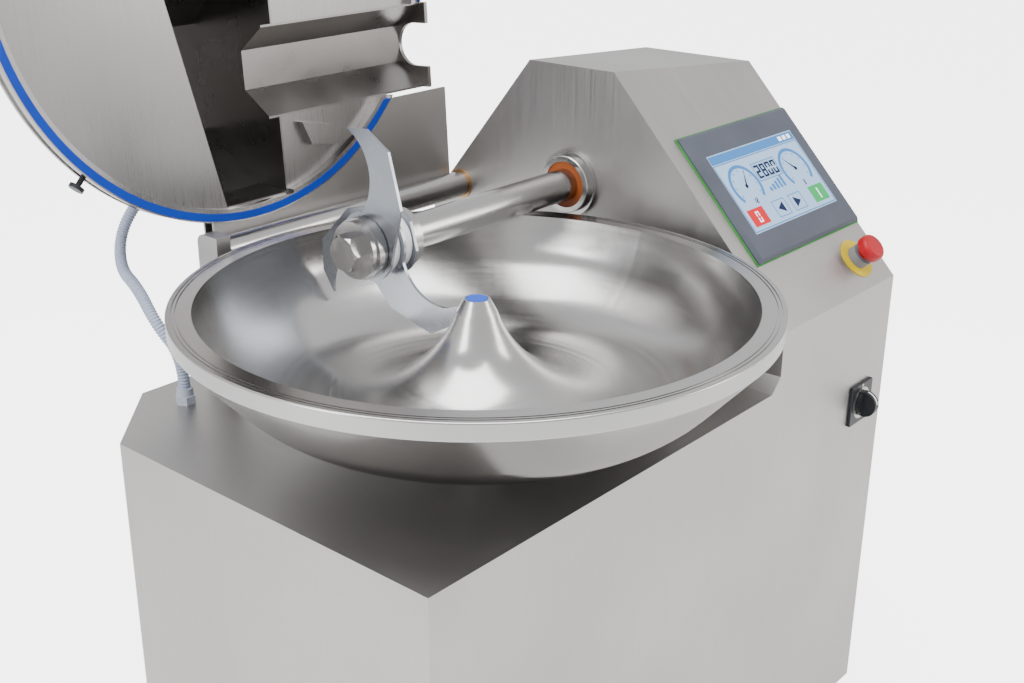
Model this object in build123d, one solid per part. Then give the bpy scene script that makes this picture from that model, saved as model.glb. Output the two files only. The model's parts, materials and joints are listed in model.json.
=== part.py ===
from build123d import *
import math
import os

# Meat bowl cutter, open lid at rest. Millimetres, +Z up.
# The origin lies on the floor, in the middle of the four feet.
# Positions marked "from left" and "from front" start at the cabinet's
# left wall and front wall; heights marked "over deck" start at the deck.

# ---- cabinet ----
DECK_WIDTH = 668.5
HOUSING_WIDTH = 311.5
CABINET_DEPTH = 624.0
DECK_HEIGHT = 720.0
UNDERSIDE_HEIGHT = 110.0
SHEET = 3.0
CORNER_CUT_X = 108.0
CORNER_CUT_Y = 107.0
FOOT_INSET_X = 110.0
FOOT_INSET_Y = 64.0
FOOT_PAD_RADIUS = 32.0
FOOT_PAD_HEIGHT = 22.0
FOOT_STEM_RADIUS = 10.0
ANCHOR_OFFSET = 23.0
ANCHOR_RADIUS = 4.5
CABLE_ENTRY_RADIUS = 12.5
CABLE_ENTRY_HEIGHT = 200.0
FRAME_TUBE = 40.0
FRAME_TUBE_WALL = 3.0
FRAME_GAP = 0.3
PAD_PLATE = 8.0
PAD_PLATE_HALF = 30.0

# ---- head housing on the right of the deck ----
HOUSING_FRONT_RISE = 80.8
HOUSING_TOP_RISE = 383.7
HOUSING_TOP_FRONT = 287.4
HOUSING_TOP_REAR = 434.4
HOUSING_SLOPE_FROM_REAR = 36.0
HOUSING_SLOPE_OVER_HINGE = 15.2
HOUSING_REAR_UNDER_HINGE = 28.9
HOUSING_TOP_FALL = 23.2
HOUSING_OVERLAP = 40.0
DECK_STRIP = 19.4

# ---- knives, which set the size of the bowl ----
KNIFE_RADIUS = 145.0
KNIFE_THICKNESS = 4.0
KNIFE_COUNT = 3
KNIFE_OVER_FLOOR = 2.5
KNIFE_TO_BOWL_AXIS = 18.2
KNIFE_TO_RIM = 16.0

# ---- bowl ----
TROUGH_OVER_DECK = 72.0
SHAFT_OVER_RIM = 26.5
RIM_WIDTH = 29.0
RIM_BAND = 19.0
BOWL_WALL = 12.0
BOWL_WALL_LEAN = 42.0
BOWL_BEND_RADIUS = 150.0
TROUGH_FLAT = 11.8
BOWL_TO_HOUSING = 28.5
BOWL_TO_HINGE = 3.0
CONE_TOP_RADIUS = 15.4
CONE_TOP_BELOW_RIM = 6.0
CONE_BEVEL = 16.0
CONE_TOP_WALL = 20.0
CAP_HEIGHT = 3.0
CAP_RADIUS = 13.5
CAP_STEM_RADIUS = 8.0
CAP_STEM_LENGTH = 7.0
CAP_GAP = 0.3
GROOVE_WIDTH = 2.0
GROOVE_DEPTH = 1.2
GROOVE_FROM_EDGE = (7.0, 11.5)

# ---- bowl spindle and its drive ----
SPINDLE_RADIUS = 30.0
SPINDLE_HOUSING_RADIUS = 62.0
SPINDLE_HOUSING_LENGTH = 150.0
SPINDLE_FLANGE_RADIUS = 95.0
BEARING_WIDTH = 22.0
HUB_RADIUS = 78.0
HUB_THICKNESS = 14.0
HUB_FLANGE = 6.0
HUB_LAP = 14.8
HUB_POST_RADIUS = 12.0
HUB_POST_GAP = 4.0
SPINDLE_SEAT = 4.0
BOWL_PULLEY_RADIUS = 100.0
BOWL_MOTOR_PULLEY_RADIUS = 30.0
BOWL_BELT_WIDTH = 20.0
BOWL_BELT_THICKNESS = 5.0
BOWL_MOTOR_BRACKET_TO_SHELL = 13.8
BOWL_MOTOR_BRACKET_EDGE = 12.0
BOWL_MOTOR_RADIUS = 58.0
BOWL_MOTOR_LENGTH = 240.0

# ---- knife shaft ----
SHAFT_RADIUS = 22.5
SHAFT_SEAT_RADIUS = 19.0
SHAFT_INNER_RADIUS = 20.0
NUT_FROM_BOWL_AXIS = 58.8
NUT_WIDTH = 18.0
NUT_ACROSS_FLATS = 41.0
WASHER_RADIUS = 38.5
WASHER_WIDTH = 22.0
SPACER_WIDTH = 17.0
SPACER_RADIUS = 38.0
COLLAR_WIDTH = 16.0
COLLAR_RADIUS = 38.0

# ---- sickle knife, seen from the left, tip towards zero degrees ----
KNIFE_EYE_RADIUS = 44.0
KNIFE_EYE_FLAT = 40.0
KNIFE_TIP_ANGLE = 13.0
KNIFE_BACK_DROP = 15.0
KNIFE_BACK_ANGLE = 29.4
KNIFE_HEEL_DROP = 63.0
KNIFE_HEEL_ANGLE = 58.0
KNIFE_HOLLOW_DROP = 46.0
KNIFE_HOLLOW_ANGLE = 15.5
KNIFE_ROOT_ANGLES = (4.0, 112.0)
FIRST_KNIFE_ANGLE = 79.2

# ---- shaft flange, seal and bearings ----
WALL_RING_RADIUS = 47.0
WALL_RING_WIDTH = 7.5
FRONT_RING_RADIUS = 41.0
FRONT_RING_WIDTH = 8.0
SEAL_RADIUS = 33.0
SEAL_RECESS = 1.5
BEARING_TUBE_RADIUS = 56.0
BEARING_RADIUS = 45.0
BEARING_TUBE_TO_PULLEY = 21.5

# ---- belt drive of the knife shaft ----
SHAFT_PULLEY_RADIUS = 50.0
MOTOR_PULLEY_RADIUS = 62.5
BELT_COUNT = 4
BELT_PITCH = 15.0
BELT_WIDTH = 10.0
BELT_THICKNESS = 8.0
BELT_DEPTH_IN_PULLEY = 6.5
BELT_GAP = 0.3
PULLEY_FROM_RIGHT = 75.0
PULLEY_RIM = 2.0
MOTOR_AXIS_OVER_FOOT = 165.0
MOTOR_RADIUS = 125.0
MOTOR_LENGTH = 330.0
MOTOR_FIN_COUNT = 24
MOTOR_SHAFT_RADIUS = 19.0
ROTOR_RADIUS = 62.0

# ---- lid, described closed and then swung open ----
LID_OPEN_ANGLE = 93.5
HINGE_FROM_REAR = 55.5
HINGE_UNDER_RIM = 12.5
HINGE_TUBE_RADIUS = 19.5
HINGE_TUBE_BORE = 14.0
HINGE_BUSH_RADIUS = 22.5
LID_INSIDE_RIM = 6.2
GASKET_FROM_EDGE = 2.0
GASKET_WIDTH = 10.0
GASKET_HEIGHT = 5.0
GASKET_REST_GAP = 0.4
GASKET_PROUD = 0.6
RING_BEAD = 5.0
RING_WAIST = 2.5
LID_RING_HEIGHT = 24.0
LID_RING_WIDTH = 18.0
LID_PLATE_OVER_RIM = 13.0
LID_SHEET = 3.0
TUNNEL_FROM_COLLAR = 2.0
TUNNEL_TO_HOUSING = 36.5
TUNNEL_BASE_HALF_WIDTH = 58.0
TUNNEL_ROOF_HALF_WIDTH = 26.0
TUNNEL_ROOF_OVER_RIM = 58.0
TUNNEL_END_PLATE = 6.0
NOTCH_RADIUS = 31.0
HOOD_RIGHT_OF_BOWL_AXIS = 65.2
HOOD_FRONT_LEFT_OF_BOWL_AXIS = 136.8
HOOD_REAR_LEFT_OF_BOWL_AXIS = 46.3
HOOD_ROOF_OVER_KNIVES = 9.5
HOOD_ROOF_FALL = 2.0
HOOD_FOOT_FROM_KNIVES = 101.0
HOOD_TOP_FRONT = 56.0
HOOD_TOP_REAR = 92.0
HOOD_SHOULDER_FROM_KNIVES = 16.0
HOOD_SHOULDER_OVER_SHAFT = 42.5
HOOD_REAR_FROM_KNIVES = 19.0
BRACKET_LEFT_OF_BOWL_AXIS = 69.8
BRACKET_TO_HOUSING = 4.5
BRACKET_BEHIND_BOWL_AXIS = 229.2
BRACKET_SHEET_LID = 4.0
STIFFENER_RIGHT_OF_BOWL_AXIS = 69.2
STIFFENER_LAP = 9.8
STIFFENER_REACH = 8.2
STIFFENER_SHEET = 5.0
POST_LEFT_OF_BOWL_AXIS = 95.8
POST_WIDTH = 22.0
POST_DEPTH = 40.0
POST_OVER_HINGE = 26.5
POST_SET_BACK = 2.0
POST_CORNER = 12.0
PIN_RADIUS = 10.0
PIN_IN_TUBE = 45.0
PIN_WALL = 4.0
BUSH_LENGTH = 40.0
BUSH_FLANGE = 2.5
LID_KNOB_ANGLE = 134.5

# ---- control panel on the sloping face ----
SCREEN_FROM_RIGHT = 140.5
SCREEN_CENTRE_V = 196.5
BEZEL_WIDTH = 275.0
BEZEL_HEIGHT = 202.0
BEZEL_RISE = 7.0
SCREEN_WIDTH = 223.0
SCREEN_HEIGHT = 126.0
ESTOP_FROM_RIGHT = 61.5
ESTOP_V = 46.5
ESTOP_RING_RADIUS = 30.0
ESTOP_HEAD_RADIUS = 20.0
ESTOP_TRAVEL = 4.0
CONTROL_BORE_RADIUS = 11.5
SWITCH_FROM_RIGHT = 72.0
SWITCH_UNDER_DECK = 96.0
SWITCH_PLATE = 62.0

# ---- cable tube to the lid ----
CONDUIT_RADIUS = 8.0
GLAND_LEFT_OF_BOWL_AXIS = 158.8
GLAND_BEFORE_HINGE = 11.5
GLAND_RADIUS = 13.5
GLAND_NUT_HEIGHT = 11.0
GLAND_HEIGHT = 21.0
GLAND_THREAD_RADIUS = 9.0
GLAND_THREAD_LENGTH = 14.0
LID_GLAND_LEFT_OF_BOWL_AXIS = 96.8
LID_GLAND_BEHIND_BOWL_AXIS = 287.2

# ---- worked-out places ----
CABINET_WIDTH = DECK_WIDTH + HOUSING_WIDTH
LEFT = -CABINET_WIDTH / 2
FRONT = -CABINET_DEPTH / 2
RIGHT = CABINET_WIDTH / 2
REAR = CABINET_DEPTH / 2
HOUSING_X = RIGHT - HOUSING_WIDTH
SHAFT_FROM_BOWL = KNIFE_RADIUS + KNIFE_TO_BOWL_AXIS
RIM_INNER_RADIUS = SHAFT_FROM_BOWL + KNIFE_RADIUS + KNIFE_TO_RIM
BOWL_RADIUS = RIM_INNER_RADIUS + RIM_WIDTH
TROUGH_RADIUS = SHAFT_FROM_BOWL + TROUGH_FLAT
TROUGH_ARC = KNIFE_RADIUS + KNIFE_OVER_FLOOR
TROUGH_Z = DECK_HEIGHT + TROUGH_OVER_DECK
SHAFT_Z = TROUGH_Z + TROUGH_ARC
RIM_Z = SHAFT_Z - SHAFT_OVER_RIM
HINGE_Z = RIM_Z - HINGE_UNDER_RIM
HINGE_Y = REAR - HINGE_FROM_REAR
BOWL_X = HOUSING_X - BOWL_TO_HOUSING - BOWL_RADIUS
BOWL_Y = HINGE_Y - HINGE_TUBE_RADIUS - BOWL_TO_HINGE - BOWL_RADIUS
SHAFT_Y = BOWL_Y + SHAFT_FROM_BOWL
LID_RADIUS = BOWL_RADIUS - LID_INSIDE_RIM
GASKET_OUTER_RADIUS = LID_RADIUS - GASKET_FROM_EDGE
GASKET_INNER_RADIUS = GASKET_OUTER_RADIUS - GASKET_WIDTH
LID_RING_INNER_RADIUS = LID_RADIUS - LID_RING_WIDTH
FRAME_TOP = UNDERSIDE_HEIGHT + FRAME_TUBE
MOTOR_FOOT_Z = FRAME_TOP + PAD_PLATE
MOTOR_Z = MOTOR_FOOT_Z + MOTOR_AXIS_OVER_FOOT
PULLEY_X = RIGHT - PULLEY_FROM_RIGHT
SCREEN_CENTRE_U = HOUSING_WIDTH - SCREEN_FROM_RIGHT
ESTOP_U = HOUSING_WIDTH - ESTOP_FROM_RIGHT
SWITCH_X = RIGHT - SWITCH_FROM_RIGHT
SWITCH_Z = DECK_HEIGHT - SWITCH_UNDER_DECK
GLAND_X = BOWL_X - GLAND_LEFT_OF_BOWL_AXIS
GLAND_Y = HINGE_Y - GLAND_BEFORE_HINGE
HINGE_AXIS = Axis((0, HINGE_Y, HINGE_Z), (1, 0, 0))

os.makedirs("parts", exist_ok=True)


def save(node, *solids):
    export_step(Compound(children=list(solids)) if len(solids) > 1 else solids[0],
                "parts/" + node + ".step")


def block(x0, x1, y0, y1, z0, z1):
    size = Box(x1 - x0, y1 - y0, z1 - z0)
    return Pos((x0 + x1) / 2, (y0 + y1) / 2, (z0 + z1) / 2) * size


def rod_z(x, y, z0, z1, radius):
    return Pos(x, y, (z0 + z1) / 2) * Cylinder(radius, z1 - z0)


def rod_x(x0, x1, y, z, radius):
    return Pos((x0 + x1) / 2, y, z) * Rot(0, 90, 0) * Cylinder(radius, x1 - x0)


def ring_z(x, y, z0, z1, outer, inner):
    return rod_z(x, y, z0, z1, outer) - rod_z(x, y, z0 - 1, z1 + 1, inner)


def ring_x(x0, x1, y, z, outer, inner):
    return rod_x(x0, x1, y, z, outer) - rod_x(x0 - 1, x1 + 1, y, z, inner)


def slab_yz(points, x0, x1):
    """A flat outline in the Y-Z plane, made x1 - x0 thick."""
    face = Plane.YZ.offset(x0) * make_face(Polyline(*points, close=True))
    return extrude(face, x1 - x0)


def slab_xy(points, z0, z1):
    face = Plane.XY.offset(z0) * make_face(Polyline(*points, close=True))
    return extrude(face, z1 - z0)


def turned(points, x, y):
    """A closed radius/height outline turned about the upright line at x, y."""
    face = Plane.XZ * make_face(Polyline(*points, close=True))
    return Pos(x, y, 0) * revolve(face, Axis.Z)


def opened(solid):
    return solid.rotate(HINGE_AXIS, -LID_OPEN_ANGLE)


def belt_outline(y0, z0, r0, y1, z1, r1):
    """Outline of a taut belt round two pulleys of radius r0 and r1."""
    span = math.hypot(y1 - y0, z1 - z0)
    along = math.atan2(z1 - z0, y1 - y0)
    lean = math.acos((r0 - r1) / span)
    corners = []
    for cy, cz, r in ((y0, z0, r0), (y1, z1, r1)):
        for side in (1, -1):
            turn = along + side * lean
            corners.append((cy + r * math.cos(turn), cz + r * math.sin(turn)))
    a, b, c, d = corners
    straps = make_face(Polyline(a, b, d, c, close=True))
    return straps + Pos(y0, z0) * Circle(r0) + Pos(y1, z1) * Circle(r1)


# ======================= cabinet and housing =======================
def footprint(inset):
    outline = Polyline(
        (LEFT, FRONT), (RIGHT, FRONT), (RIGHT, REAR),
        (LEFT + CORNER_CUT_X, REAR), (LEFT, REAR - CORNER_CUT_Y), close=True)
    face = make_face(outline)
    return offset(face, -inset, kind=Kind.INTERSECTION) if inset else face


def housing_profile(inset):
    outline = Polyline(
        (FRONT, DECK_HEIGHT - HOUSING_OVERLAP),
        (FRONT, DECK_HEIGHT + HOUSING_FRONT_RISE),
        (FRONT + HOUSING_TOP_FRONT, DECK_HEIGHT + HOUSING_TOP_RISE),
        (FRONT + HOUSING_TOP_REAR, DECK_HEIGHT + HOUSING_TOP_RISE),
        (REAR - HOUSING_SLOPE_FROM_REAR, HINGE_Z + HOUSING_SLOPE_OVER_HINGE),
        (REAR, HINGE_Z - HOUSING_REAR_UNDER_HINGE),
        (REAR, DECK_HEIGHT - HOUSING_OVERLAP), close=True)
    face = make_face(outline)
    return offset(face, -inset, kind=Kind.INTERSECTION) if inset else face


def housing_solid(inset):
    body = extrude(Plane.YZ.offset(HOUSING_X + inset) * housing_profile(inset),
                   HOUSING_WIDTH - 2 * inset)
    fall_angle = math.degrees(math.atan2(HOUSING_TOP_FALL, HOUSING_WIDTH))
    knife = Pos(HOUSING_X, 0, DECK_HEIGHT + HOUSING_TOP_RISE - inset) * (
        Rot(0, fall_angle, 0) * block(-100, 500, -500, 500, 0, 200))
    return body - knife


outer_body = extrude(Plane.XY.offset(UNDERSIDE_HEIGHT) * footprint(0), DECK_HEIGHT - UNDERSIDE_HEIGHT)
inner_body = extrude(Plane.XY.offset(UNDERSIDE_HEIGHT - 1) * footprint(SHEET),
                     DECK_HEIGHT - UNDERSIDE_HEIGHT + 1 - SHEET)
strip = extrude(
    Plane.XZ.offset(-FRONT) * make_face(Polyline(
        (HOUSING_X - DECK_STRIP, DECK_HEIGHT), (HOUSING_X, DECK_HEIGHT),
        (HOUSING_X, DECK_HEIGHT + DECK_STRIP), close=True)), -CABINET_DEPTH)

slope_angle = math.atan2(HOUSING_TOP_RISE - HOUSING_FRONT_RISE, HOUSING_TOP_FRONT)
panel = Plane(
    origin=(HOUSING_X, FRONT, DECK_HEIGHT + HOUSING_FRONT_RISE), x_dir=(1, 0, 0),
    z_dir=(0, -math.sin(slope_angle), math.cos(slope_angle)))


def on_panel(solid, u, v):
    """Put a solid that stands on Z = 0 onto the sloping face."""
    return panel * Pos(u, v, 0) * solid


OPENING_INSET = 60.0
OPENING_LOW = UNDERSIDE_HEIGHT + OPENING_INSET
OPENING_HIGH = DECK_HEIGHT - OPENING_INSET
SIDE_OPENING = (FRONT + OPENING_INSET, REAR - OPENING_INSET, OPENING_LOW, OPENING_HIGH)
REAR_OPENING = (LEFT + CORNER_CUT_X + OPENING_INSET, RIGHT - OPENING_INSET, OPENING_LOW, OPENING_HIGH)
CUT_DEPTH = 15.0
SPINDLE_HOLE_GAP = 12.0
BUSH_BODY_RADIUS = HINGE_BUSH_RADIUS - 1.5
SCREEN_FRAME = 10.0
SCREEN_OPENING_WIDTH = SCREEN_WIDTH + 2 * SCREEN_FRAME
SCREEN_OPENING_HEIGHT = SCREEN_HEIGHT + 2 * SCREEN_FRAME
CABLE_ENTRY_INSET = 20.0
VENT_COUNT = 9
VENT_PITCH = 16.0
VENT_HEIGHT = 6.0
VENT_LEFT = RIGHT - 330
VENT_RIGHT = RIGHT - 110
VENT_TOP = DECK_HEIGHT - 110
COVER_LAP = 18.0
COVER_THICKNESS = 2.0
SCREW_HEAD_RADIUS = 6.0
SCREW_HEAD_HEIGHT = 3.5
SCREW_RADIUS = 2.9
SCREW_LENGTH = 12.0
SCREW_INSET = 9.0

shell = outer_body + housing_solid(0) + strip
shell = shell - inner_body - housing_solid(SHEET)
for x, y, radius in ((BOWL_X, BOWL_Y, SPINDLE_RADIUS + SPINDLE_HOLE_GAP), (GLAND_X, GLAND_Y, GLAND_THREAD_RADIUS)):
    shell = shell - rod_z(x, y, DECK_HEIGHT - CUT_DEPTH, DECK_HEIGHT + CUT_DEPTH, radius)
for y, z, radius in ((SHAFT_Y, SHAFT_Z, SEAL_RADIUS + 2), (HINGE_Y, HINGE_Z, BUSH_BODY_RADIUS)):
    shell = shell - rod_x(HOUSING_X - CUT_DEPTH, HOUSING_X + CUT_DEPTH, y, z, radius)
shell = shell - on_panel(Box(SCREEN_OPENING_WIDTH, SCREEN_OPENING_HEIGHT, 2 * CUT_DEPTH),
                         SCREEN_CENTRE_U, SCREEN_CENTRE_V)
shell = shell - on_panel(Cylinder(CONTROL_BORE_RADIUS, 2 * CUT_DEPTH), ESTOP_U, ESTOP_V)
for x, y, z, radius in ((SWITCH_X, FRONT, SWITCH_Z, CONTROL_BORE_RADIUS),
                        (LEFT + CORNER_CUT_X + CABLE_ENTRY_INSET, REAR, CABLE_ENTRY_HEIGHT, CABLE_ENTRY_RADIUS)):
    shell = shell - Pos(x, y, z) * Rot(90, 0, 0) * Cylinder(radius, 2 * CUT_DEPTH)
shell = shell - block(RIGHT - CUT_DEPTH, RIGHT + CUT_DEPTH, *SIDE_OPENING)
shell = shell - block(REAR_OPENING[0], REAR_OPENING[1], REAR - CUT_DEPTH, REAR + CUT_DEPTH,
                      REAR_OPENING[2], REAR_OPENING[3])


def spots(low, high, count):
    return [low + (high - low) * i / (count - 1) for i in range(count)]


screw_holes_side = []
screw_holes_rear = []
y0, y1, z0, z1 = SIDE_OPENING
for y in spots(y0 - SCREW_INSET, y1 + SCREW_INSET, 3):
    for z in (z0 - SCREW_INSET, z1 + SCREW_INSET):
        screw_holes_side.append((y, z))
x0, x1, z0, z1 = REAR_OPENING
for x in spots(x0 - SCREW_INSET, x1 + SCREW_INSET, 4):
    for z in (z0 - SCREW_INSET, z1 + SCREW_INSET):
        screw_holes_rear.append((x, z))

y0, y1, z0, z1 = SIDE_OPENING
side_cover = block(RIGHT, RIGHT + COVER_THICKNESS, y0 - COVER_LAP, y1 + COVER_LAP,
                   z0 - COVER_LAP, z1 + COVER_LAP)
x0, x1, z0, z1 = REAR_OPENING
rear_cover = block(x0 - COVER_LAP, x1 + COVER_LAP, REAR, REAR + COVER_THICKNESS,
                   z0 - COVER_LAP, z1 + COVER_LAP)
for i in range(VENT_COUNT):
    z = VENT_TOP - VENT_PITCH * i
    rear_cover = rear_cover - block(VENT_LEFT, VENT_RIGHT, REAR - 5, REAR + 5, z, z + VENT_HEIGHT)

screws = []
for y, z in screw_holes_side:
    hole = rod_x(RIGHT - 20, RIGHT + 20, y, z, SCREW_RADIUS)
    shell = shell - hole
    side_cover = side_cover - hole
    outside = RIGHT + COVER_THICKNESS
    screws.append(rod_x(outside, outside + SCREW_HEAD_HEIGHT, y, z, SCREW_HEAD_RADIUS)
                  + rod_x(outside - SCREW_LENGTH, outside + 1, y, z, SCREW_RADIUS))
for x, z in screw_holes_rear:
    hole = Pos(x, REAR, z) * Rot(90, 0, 0) * Cylinder(SCREW_RADIUS, 40)
    shell = shell - hole
    rear_cover = rear_cover - hole
    outside = REAR + COVER_THICKNESS
    head = Pos(x, outside + SCREW_HEAD_HEIGHT / 2, z) * Rot(90, 0, 0) * Cylinder(
        SCREW_HEAD_RADIUS, SCREW_HEAD_HEIGHT)
    shank = Pos(x, outside - SCREW_LENGTH / 2, z) * Rot(90, 0, 0) * Cylinder(
        SCREW_RADIUS, SCREW_LENGTH)
    screws.append(head + shank)

save("cabinet_shell", shell)
save("side_cover", side_cover)
save("rear_cover", rear_cover)
save("cover_screws", *screws)


# ======================= frame and feet =======================
def tube_x(x0, x1, y, z):
    half = FRAME_TUBE / 2
    inner = half - FRAME_TUBE_WALL
    return (block(x0, x1, y - half, y + half, z - half, z + half)
            - block(x0 - 1, x1 + 1, y - inner, y + inner, z - inner, z + inner))


half_tube = FRAME_TUBE / 2
frame_z = UNDERSIDE_HEIGHT + half_tube
rail_y = CABINET_DEPTH / 2 - FOOT_INSET_Y
cross_x = CABINET_WIDTH / 2 - FOOT_INSET_X


def tube_y(x):
    """A square tube across the cabinet, from the front wall to the rear wall."""
    inner = half_tube - FRAME_TUBE_WALL
    return (block(x - half_tube, x + half_tube, FRONT, REAR, frame_z - half_tube, frame_z + half_tube)
            - block(x - inner, x + inner, FRONT, REAR, frame_z - inner, frame_z + inner))


frame = tube_x(-cross_x - half_tube, RIGHT, -rail_y, frame_z)
frame = frame + tube_x(-cross_x - half_tube, RIGHT, rail_y, frame_z)
for x in (-cross_x, 0, cross_x):
    frame = frame + tube_y(x)
frame = frame & extrude(Plane.XY * footprint(SHEET + FRAME_GAP), FRAME_TOP)

MOTOR_TO_PULLEY = 50.0
MOTOR_PLATE_HALF = 120.0
motor_x1 = PULLEY_X - MOTOR_TO_PULLEY
motor_x0 = motor_x1 - MOTOR_LENGTH
frame = frame + block(-half_tube, cross_x + half_tube, SHAFT_Y - MOTOR_PLATE_HALF, SHAFT_Y + MOTOR_PLATE_HALF,
                      FRAME_TOP, MOTOR_FOOT_Z)
for sx in (-1, 1):
    for sy in (-1, 1):
        frame = frame + block(sx * cross_x - PAD_PLATE_HALF, sx * cross_x + PAD_PLATE_HALF,
                              sy * rail_y - PAD_PLATE_HALF, sy * rail_y + PAD_PLATE_HALF,
                              UNDERSIDE_HEIGHT - PAD_PLATE, UNDERSIDE_HEIGHT)

PAD_EDGE = 8.0
PAD_NECK_RADIUS = 18.0
STEM_IN_TUBE = 10.0
STEM_HOLE_EXTRA = 2.0
STEM_NUT_HEIGHT = 8.0
STEM_NUT_RADIUS = 17.0
STEM_COLLAR_RADIUS = 15.0
STEM_COLLAR_HEIGHT = 6.0
stems = []
pads = []
for sx in (-1, 1):
    for sy in (-1, 1):
        x = sx * cross_x
        y = sy * rail_y
        frame = frame - rod_z(x, y, FOOT_PAD_HEIGHT, UNDERSIDE_HEIGHT + STEM_IN_TUBE + STEM_HOLE_EXTRA,
                              FOOT_STEM_RADIUS)
        pad = turned(((0, 0), (FOOT_PAD_RADIUS, 0), (FOOT_PAD_RADIUS, PAD_EDGE),
                      (PAD_NECK_RADIUS, FOOT_PAD_HEIGHT), (0, FOOT_PAD_HEIGHT)), x, y)
        anchor_x = sx * (cross_x + ANCHOR_OFFSET)
        pads.append(pad - rod_z(anchor_x, y, -1, FOOT_PAD_HEIGHT + 1, ANCHOR_RADIUS))
        stem = rod_z(x, y, FOOT_PAD_HEIGHT, UNDERSIDE_HEIGHT + STEM_IN_TUBE, FOOT_STEM_RADIUS)
        nut = Pos(x, y, UNDERSIDE_HEIGHT - PAD_PLATE - STEM_NUT_HEIGHT) * extrude(
            RegularPolygon(STEM_NUT_RADIUS, 6), STEM_NUT_HEIGHT)
        collar = rod_z(x, y, FOOT_PAD_HEIGHT, FOOT_PAD_HEIGHT + STEM_COLLAR_HEIGHT, STEM_COLLAR_RADIUS)
        stems.append(stem + nut + collar)
save("base_frame", frame)
save("foot_stems", *stems)
save("foot_pads", *pads)

# ======================= bowl =======================
cone_top_z = RIM_Z - CONE_TOP_BELOW_RIM
outer_floor_z = TROUGH_Z - BOWL_WALL
band_z = RIM_Z - RIM_BAND


def beside_knives(radius, z):
    """The cone's radius at a height, where its flank keeps a distance from the shaft's axis."""
    return SHAFT_FROM_BOWL - math.sqrt(radius ** 2 - (SHAFT_Z - z) ** 2)


def flank_arc(radius, top_z):
    """The cone's flank from top_z down to the trough's lowest line, as an arc about the shaft."""
    low_turn = math.radians(-90)
    top_turn = math.pi + math.asin((SHAFT_Z - top_z) / radius) - 2 * math.pi
    turns = (top_turn, (top_turn + low_turn) / 2, low_turn)
    return ThreePointArc(*[(SHAFT_FROM_BOWL + radius * math.cos(turn), SHAFT_Z + radius * math.sin(turn))
                           for turn in turns])


# The bowl's inside: a bevelled cone, a trough that follows the knives, and a wall up to the rim.
flank = flank_arc(TROUGH_ARC, cone_top_z - CONE_BEVEL)
wall_run = RIM_INNER_RADIUS - TROUGH_RADIUS
wall_rise = RIM_Z - TROUGH_Z
wall_arc = (wall_run ** 2 + wall_rise ** 2) / (2 * wall_rise)
wall_turn = math.asin(wall_run / wall_arc) if wall_rise < wall_arc else math.pi / 2
wall_middle = (TROUGH_RADIUS + wall_arc * math.sin(wall_turn / 2),
               TROUGH_Z + wall_arc * (1 - math.cos(wall_turn / 2)))
inside = make_face(
    Line((0, cone_top_z), (CONE_TOP_RADIUS, cone_top_z))
    + Line((CONE_TOP_RADIUS, cone_top_z), flank @ 0) + flank
    + Line(flank @ 1, (TROUGH_RADIUS, TROUGH_Z))
    + ThreePointArc((TROUGH_RADIUS, TROUGH_Z), wall_middle, (RIM_INNER_RADIUS, RIM_Z))
    + Line((RIM_INNER_RADIUS, RIM_Z), (0, RIM_Z)) + Line((0, RIM_Z), (0, cone_top_z)))
corner_radius = BOWL_RADIUS - (band_z - outer_floor_z) * math.tan(math.radians(BOWL_WALL_LEAN))
underside = FilletPolyline((0, outer_floor_z), (corner_radius, outer_floor_z), (BOWL_RADIUS, band_z),
                           radius=BOWL_BEND_RADIUS)
outside = make_face(underside + Polyline((BOWL_RADIUS, band_z), (BOWL_RADIUS, RIM_Z), (0, RIM_Z),
                                         (0, outer_floor_z)))
hollow_arc = TROUGH_ARC + BOWL_WALL
hollow_top_z = cone_top_z - CONE_TOP_WALL
hollow_flank = flank_arc(hollow_arc, hollow_top_z)
hollow = make_face(
    hollow_flank + Polyline(hollow_flank @ 1, (0, outer_floor_z), (0, hollow_top_z), hollow_flank @ 0))
section = outside - inside - hollow
cap_floor_z = cone_top_z - CAP_HEIGHT
for radius, low_z in ((CAP_RADIUS, cap_floor_z), (CAP_STEM_RADIUS, cap_floor_z - CAP_STEM_LENGTH)):
    section = section - make_face(Polyline(
        (0, cone_top_z), (radius, cone_top_z), (radius, low_z), (0, low_z), close=True))
for edge in GROOVE_FROM_EDGE:
    section = section - Pos(BOWL_RADIUS - edge, RIM_Z) * Rectangle(GROOVE_WIDTH, 2 * GROOVE_DEPTH)
bowl = Pos(BOWL_X, BOWL_Y, 0) * revolve(Plane.XZ * section, Axis.Z)
RIM_EDGE_RADIUS = 2.0
bowl = bowl.fillet(RIM_EDGE_RADIUS, bowl.edges().filter_by(GeomType.CIRCLE).filter_by(
    lambda e: abs(e.radius - BOWL_RADIUS) < 0.01))
save("bowl", bowl)

cap = rod_z(BOWL_X, BOWL_Y, cap_floor_z, cone_top_z + 0.5, CAP_RADIUS - CAP_GAP)
CAP_EDGE_RADIUS = 1.2
cap = cap.fillet(CAP_EDGE_RADIUS, cap.edges().filter_by(GeomType.CIRCLE).group_by(Axis.Z)[-1])
cap = cap + rod_z(BOWL_X, BOWL_Y, cap_floor_z - CAP_STEM_LENGTH, cap_floor_z + 1, CAP_STEM_RADIUS)
save("bowl_cap", cap)

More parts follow.
